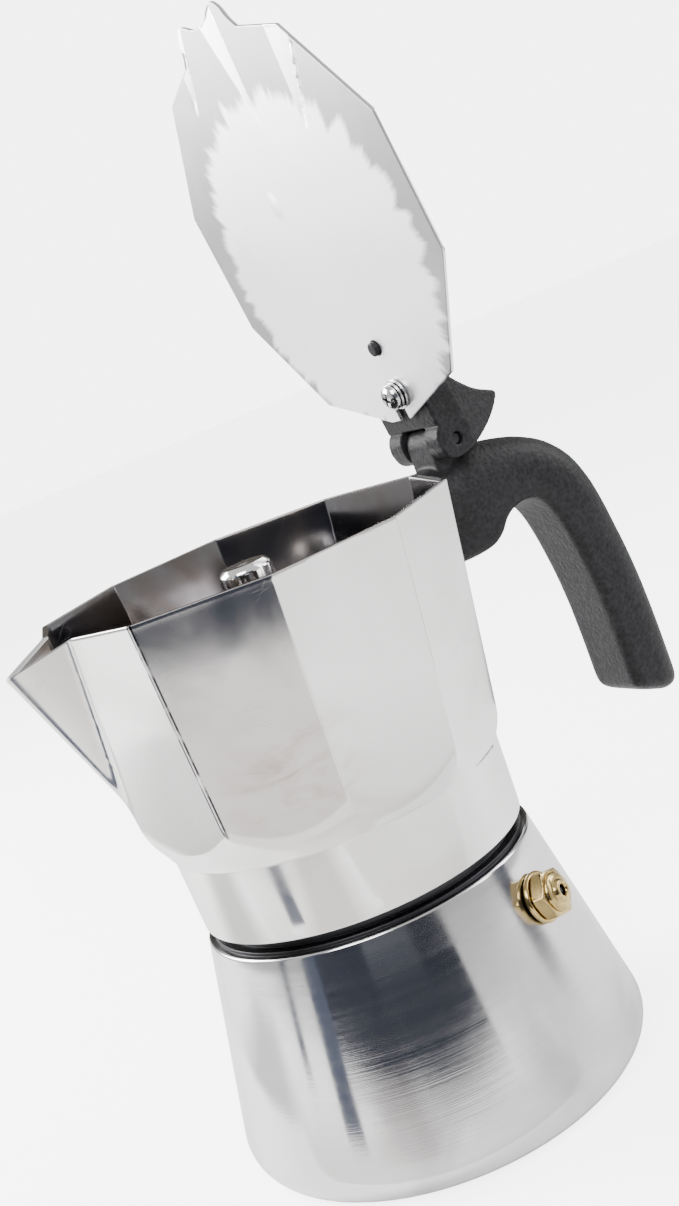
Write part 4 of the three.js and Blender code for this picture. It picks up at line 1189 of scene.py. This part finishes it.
def lidRadiusAt(angle):
    s = lidSizes
    r = polygonRadius(angle, 10, s["corner"] * halfSide, s["rounding"])
    off = abs(math.pi - angle % (2 * math.pi))
    polar = [(math.atan2(p, a), math.hypot(a, p)) for a, p in s["tongue"]]
    if off < polar[0][0]:
        line = curveThrough([Vector((*p, 0)) for p in polar + [(-polar[-2][0], polar[-2][1])]], 8)
        for p, q in zip(line, line[1:]):
            if q[0] <= off <= p[0]:
                share = (off - q[0]) / max(p[0] - q[0], 1e-9)
                r = q[1] + (p[1] - q[1]) * share
                break
    if math.cos(angle) > 0.5:
        r = min(r, s["cornerCut"] / math.cos(angle))
    return r


def lidRelief(x, y):
    # creases pressed into the lid's inner side, and a small raised oval
    s = lidSizes
    depth = 0.0
    for start, end, wide in s["creases"]:
        a, b, p = Vector(start), Vector(end), Vector((x, y))
        line = b - a
        t = (p - a).dot(line) / line.length_squared
        if -0.3 < t < 1.0:
            aside = (p - a).cross(line.normalized())
            half = wide * (1 - t) + 0.25
            if abs(aside) < half:
                depth += s["creaseDepth"] * (1 + aside / half) / 2 * min(1, (1 - t) * 5)
    oval = math.hypot((x - s["dimple"][0]) / 3.6, (y - s["dimple"][1]) / 2.2)
    depth -= 0.22 * max(0, 1 - oval) ** 0.7 if oval < 1 else 0
    return depth


def makeLid():
    s = lidSizes
    extra = [math.pi + math.radians(0.25 * n) for n in range(-100, 161)]
    angles = sideAngles(10, math.radians(0.8), 32, extra)
    shares = [i / 70 for i in range(70)] + [0.992]
    columns = []
    for a in angles:
        edge = lidRadiusAt(a)
        under, over = s["low"], s["low"] + s["thick"]
        column = []
        for share in shares:
            x, y = edge * share * math.cos(a), edge * share * math.sin(a)
            column.append((x, y, under + lidRelief(x, y)))
        for inward, lift in ((s["edge"], 0), (0.06, 0.06), (0, s["edge"]), (0, s["thick"] - s["edge"]),
                             (0.06, s["thick"] - 0.06), (s["edge"], s["thick"])):
            r = edge - inward
            column.append((r * math.cos(a), r * math.sin(a), under + lift))
        for share in (0.985, 0.9, 0.7, 0.5, 0.25, 0.0):
            column.append((edge * share * math.cos(a), edge * share * math.sin(a), over))
        columns.append(column)
    verts = [p for column in columns for p in column]
    lid = makePiece("lidPlate", verts, gridFaces(len(columns), len(columns[0]), True, False), lidMetal, 30)
    lid.data.materials.append(chamberMetal)
    for face in lid.data.polygons:
        if face.center.z > (s["low"] + s["thick"] * 0.4) * mm:
            face.material_index = 1
    plan = lid.data.uv_layers.new(name="plan")
    for corner in lid.data.loops:
        spot = lid.data.vertices[corner.vertex_index].co
        plan.data[corner.index].uv = (spot.x * 10, spot.y * 10)
    x = hingeSpot.x
    carve(lid, prismPiece("slot", [(x - 14, -4.2), (x, -4.2), (x, 0.6), (x - 14, 0.6)], 140, 155, "Z"))
    for radius, spot in ((1.9, lidScrewSpot), (2.2, lidPegSpot)):
        carve(lid, prismPiece("hole", circle(radius, spot), 140, 155, "Z"))
    tidyMesh(lid.data, 30)
    lid.data.transform(openPlace)
    finishPiece(lid, "lid", "polished_aluminium", "lid_plate")


leverSizes = {
    "base": 148.0, "halfWidth": 12.5, "endHalf": 6.3, "reach": 31.8, "pocket": 5.1, "pocketHalf": 6,
    "pegRadius": 1.9,
    "back": [(-4.6, -4.2), (-2.6, -5.3), (0, -5.5), (2.8, -4.6), (4.2, -2.6), (4.4, 0), (3.9, 3.4), (3.1, 6.4),
             (2, 9.6), (0.5, 12.9), (-1.3, 15.8), (-3.1, 17.9), (-4.0, 18.3), (-4.7, 17.8)],
    "front": [(-5.9, 15.6), (-7.8, 12.4), (-10.6, 9.3), (-15, 5.6), (-21, 2.2), (-27, -1.5), (-31.8, -1.9)],
}


def makeLever():
    s = leverSizes
    base, wide, slim, far = s["base"], s["halfWidth"], s["endHalf"], s["reach"]
    hx, hz = hingeSpot.x, hingeSpot.z
    outline = [(hx - far, base), (hx - 5.6, base), (hx - 5.6, hz - 2.6)]
    for stretch in (s["back"], s["front"]):
        line = curveThrough([Vector((hx + px, hz + pz, 0)) for px, pz in stretch], 5)
        outline += [(p[0], p[1]) for p in line]
    lever = prismPiece("lidLever", outline, -wide, wide, material=plasticSkin)
    plan = [(hx + 12, -wide), (hx + 12, wide), (hx - 13, wide), (hx - far - 1, slim), (hx - far - 1, -slim),
            (hx - 13, -wide)]
    carve(lever, prismPiece("plan", plan, 130, 190, "Z"), "INTERSECT")
    ends = [(-wide, hz - 20), (wide, hz - 20), (wide, hz + 4), (8.5, hz + 19), (-8.5, hz + 19), (-wide, hz + 4)]
    carve(lever, prismPiece("ends", ends, 0, 100, "X"), "INTERSECT")
    r, half = s["pocket"], s["pocketHalf"]
    carve(lever, prismPiece("pocket", circle(r, (hx, hz)), -half, half))
    carve(lever, boxPiece("pocket", (hx - r, -half, hz - 20), (hx + 20, half, hz)))
    carve(lever, boxPiece("pocket", (hx, -half, hz - 20), (hx + 20, half, hz + r)))
    carve(lever, prismPiece("pinHole", circle(handleLook["pinHole"], (hx, hz)), -14, 14))
    carve(lever, prismPiece("screwSpace", circle(1.9, lidScrewSpot), base - 1, base + 9.6, "Z"))
    carve(lever, prismPiece("peg", circle(s["pegRadius"], lidPegSpot), 145.3, base + 1, "Z"), "UNION")
    moulded(lever, 0.34, 4)
    lever.data.transform(openPlace)
    finishPiece(lever, "lid", "black_plastic", "lid_lever")


lidFixing = {"washer": (1.9, 4.0, 145.7, 146.4), "splitWasher": (1.9, 3.6, 144.7, 145.4), "threadFoot": 148.6,
             "crossReach": 1.9, "crossHalf": 0.42}


def makeLidFixing():
    s = lidFixing
    place = openPlace @ Matrix.Translation((lidScrewSpot[0] * mm, lidScrewSpot[1] * mm, 0))
    bore, radius, low, high = s["washer"]
    flat = turnedPiece("lidWasher", [(bore, low), (radius, low, 0.2), (radius, high, 0.2), (bore, high)],
                       steelMetal, 64, 0.12, place=place)
    finishPiece(flat, "lid", "steel", "lid_washer")
    bore, radius, low, high = s["splitWasher"]
    split = turnedPiece("lidSpringWasher", [(bore, low), (radius, low), (radius, high), (bore, high)],
                        steelMetal, 64, 0.14)
    carve(split, boxPiece("gap", (0, 0, 140), (6, 0.8, 150)))
    tidyMesh(split.data, 30)
    split.data.transform(place)
    finishPiece(split, "lid", "steel", "lid_spring_washer")
    head = turnedPiece("lidScrew", [
        (0, 142.5), (1.9, 142.6, 0.8), (3.0, 143.2, 0.8), (3.4, 144.0, 0.3), (3.4, 144.4, 0.15),
        (1.6, 144.4, 0.1), (1.6, 156.5, 0.3), (0, 156.9)], steelMetal, 56, 0.12, ring=False)
    reach, half = s["crossReach"], s["crossHalf"]
    for a in (0.5, 0.5 + math.pi / 2):
        arm = boxPiece("cross", (-reach, -half, 141), (reach, half, 143.7))
        arm.data.transform(Matrix.Rotation(a, 4, "Z"))
        carve(head, arm)
    tidyMesh(head.data, 30)
    head.data.transform(place)
    finishPiece(head, "lid", "steel", "lid_screw")
    thread = shapeFromTree("lidScrewThread", woundWire, place @ raised(s["threadFoot"]), steelMetal,
                           Radius=1.55 * mm, Height=7.5 * mm, Turns=9.0, Wire=0.22 * mm,
                           Resolution=20, Sides=6)
    finishPiece(thread, "lid", "steel")


makeLid()
makeLever()
makeLidFixing()
print("lid done")


# floor, light and camera

studio = {"floorColour": (0.93, 0.93, 0.93), "floorCloud": (0.9, 0.9, 0.9), "glow": 4.2, "skyExtra": 0.6,
          "world": 0.85, "lightSize": 500, "lightAim": (0, 0, 110)}
softboxes = {
    "keySoftbox": ((-500, -450, 650), 8.0),
    "fillSoftbox": ((600, -300, 400), 5.0),
    "backSoftbox": ((-450, 600, 500), 17.0),
}
# dark panels seen only in the metal: azimuth, distance, width, foot, head, tone
cards = {
    "darkBoard": (-124, 388, 710, 0, 330, (0.014, 0.016, 0.024)),
    "greyBoard": (-118, 380, 200, 60, 330, (0.045, 0.048, 0.058)),
    "leftStand": (-163, 185, 28, 0, 300, (0.06, 0.07, 0.1)),
    "leftRail": (-184, 330, 24, 0, 300, (0.03, 0.04, 0.07)),
    "rightStand": (-34, 290, 64, 0, 240, (0.035, 0.04, 0.055)),
    "backWall": (65, 900, 900, 0, 500, (0.05, 0.045, 0.04)),
}
# grey patches on the floor, seen only in the metal: azimuth, near, far, width, tone
patches = {
    "patchWide": (-122, 60, 384, 520, (0.66, 0.65, 0.645)),
    "patchFront": (-140, 150, 380, 170, (0.5, 0.475, 0.465)),
    "patchLeft": (152, 150, 420, 150, (0.45, 0.45, 0.45)),
}


def cameraOnly(tree, value):
    path = tree.nodes.new("ShaderNodeLightPath")
    return calculate(tree, "MULTIPLY", path.outputs["Is Camera Ray"], value)


def makeStage():
    material, tree, shader, place = newMaterial("paleFloor", Roughness=0.6, Emission_Color=(1, 1, 1, 1))
    cloud = useGroup(tree, softSmudges, place, Scale=2.0)
    paint = mixColours(tree, cloud.outputs["Mask"], studio["floorColour"], studio["floorCloud"])
    tree.links.new(paint, shader.inputs["Base Color"])
    tree.links.new(cameraOnly(tree, studio["glow"]), shader.inputs["Emission Strength"])
    boxPiece("floor", (-4000, -4000, -20), (4000, 4000, 0), material)
    world = bpy.data.worlds.new("studio")
    world.use_nodes = True
    tree = world.node_tree
    back = tree.nodes["Background"]
    back.inputs["Color"].default_value = (1, 1, 1, 1)
    strength = calculate(tree, "ADD", cameraOnly(tree, studio["glow"] + studio["skyExtra"]), studio["world"])
    tree.links.new(strength, back.inputs["Strength"])
    bpy.context.scene.world = world


def addCard(name, azimuth, distance, width, foot, head, tone, flat=False, layer=0):
    # standing, foot and head are heights; lying flat they are distances further out
    a = math.radians(azimuth)
    outward = Vector((math.cos(a), math.sin(a), 0))
    across = Vector((-outward.y, outward.x, 0)) * width / 2
    rise = outward if flat else Vector((0, 0, 1))
    middle = outward * distance + Vector((0, 0, 0.5 + 0.3 * layer))
    low, high = middle + rise * foot, middle + rise * head
    material, tree, shader, place = newMaterial(name + "Paint", Roughness=0.9, Specular_IOR_Level=0.1,
                                                Base_Color=(*tone, 1))
    if flat:
        # fades into the floor toward both sides
        off = calculate(tree, "ABSOLUTE", calculateVector(tree, "DOT_PRODUCT", place, across.normalized()))
        fade = ranged(tree, off, 0, 1, width / 5 * mm, width / 2 * mm)
        tree.links.new(mixColours(tree, fade, tone, studio["floorColour"]), shader.inputs["Base Color"])
    corners = [low - across, low + across, high + across, high - across]
    card = makePiece(name, corners, [(0, 1, 2, 3)], material)
    card.visible_camera = False
    card.visible_shadow = False
    card.visible_diffuse = False


def addLight(name, centre, power):
    data = bpy.data.lights.new(name, "AREA")
    data.energy = power
    data.size = studio["lightSize"] * mm
    light = bpy.data.objects.new(name, data)
    bpy.context.scene.collection.objects.link(light)
    light.location = Vector(centre) * mm
    direction = Vector(studio["lightAim"]) - Vector(centre)
    light.rotation_euler = direction.to_track_quat("-Z", "Y").to_euler()


cameraPlan = {"azimuth": -115.5, "elevation": 9.82, "roll": 21.48, "distance": 390.7, "aimHeight": 100.0,
              "sideways": 18.18, "upward": 26.01, "lens": 47.61, "sensor": 36}


def makeCamera():
    c = cameraPlan
    az, el, roll = (math.radians(c[k]) for k in ("azimuth", "elevation", "roll"))
    back = Vector((math.cos(az) * math.cos(el), math.sin(az) * math.cos(el), math.sin(el)))
    right = (-back).cross(Vector((0, 0, 1))).normalized()
    up = right.cross(-back)
    target = Vector((0, 0, c["aimHeight"])) + right * c["sideways"] + up * c["upward"]
    x = right * math.cos(roll) - up * math.sin(roll)
    y = right * math.sin(roll) + up * math.cos(roll)
    turn = Matrix((x, y, back)).transposed().to_4x4()
    data = bpy.data.cameras.new("camera")
    data.lens = c["lens"]
    data.sensor_width = c["sensor"]
    data.clip_start, data.clip_end = 0.01, 20
    camera = bpy.data.objects.new("camera", data)
    bpy.context.scene.collection.objects.link(camera)
    camera.matrix_world = Matrix.Translation((target + back * c["distance"]) * mm) @ turn
    bpy.context.scene.camera = camera


makeStage()
for name, card in cards.items():
    addCard(name, *card)
for layer, (name, (azimuth, near, far, width, tone)) in enumerate(patches.items()):
    addCard(name, azimuth, 0, width, near, far, tone, flat=True, layer=layer)
makeCamera()
for name, (centre, power) in softboxes.items():
    addLight(name, centre, power)
print("stage, light and camera done")
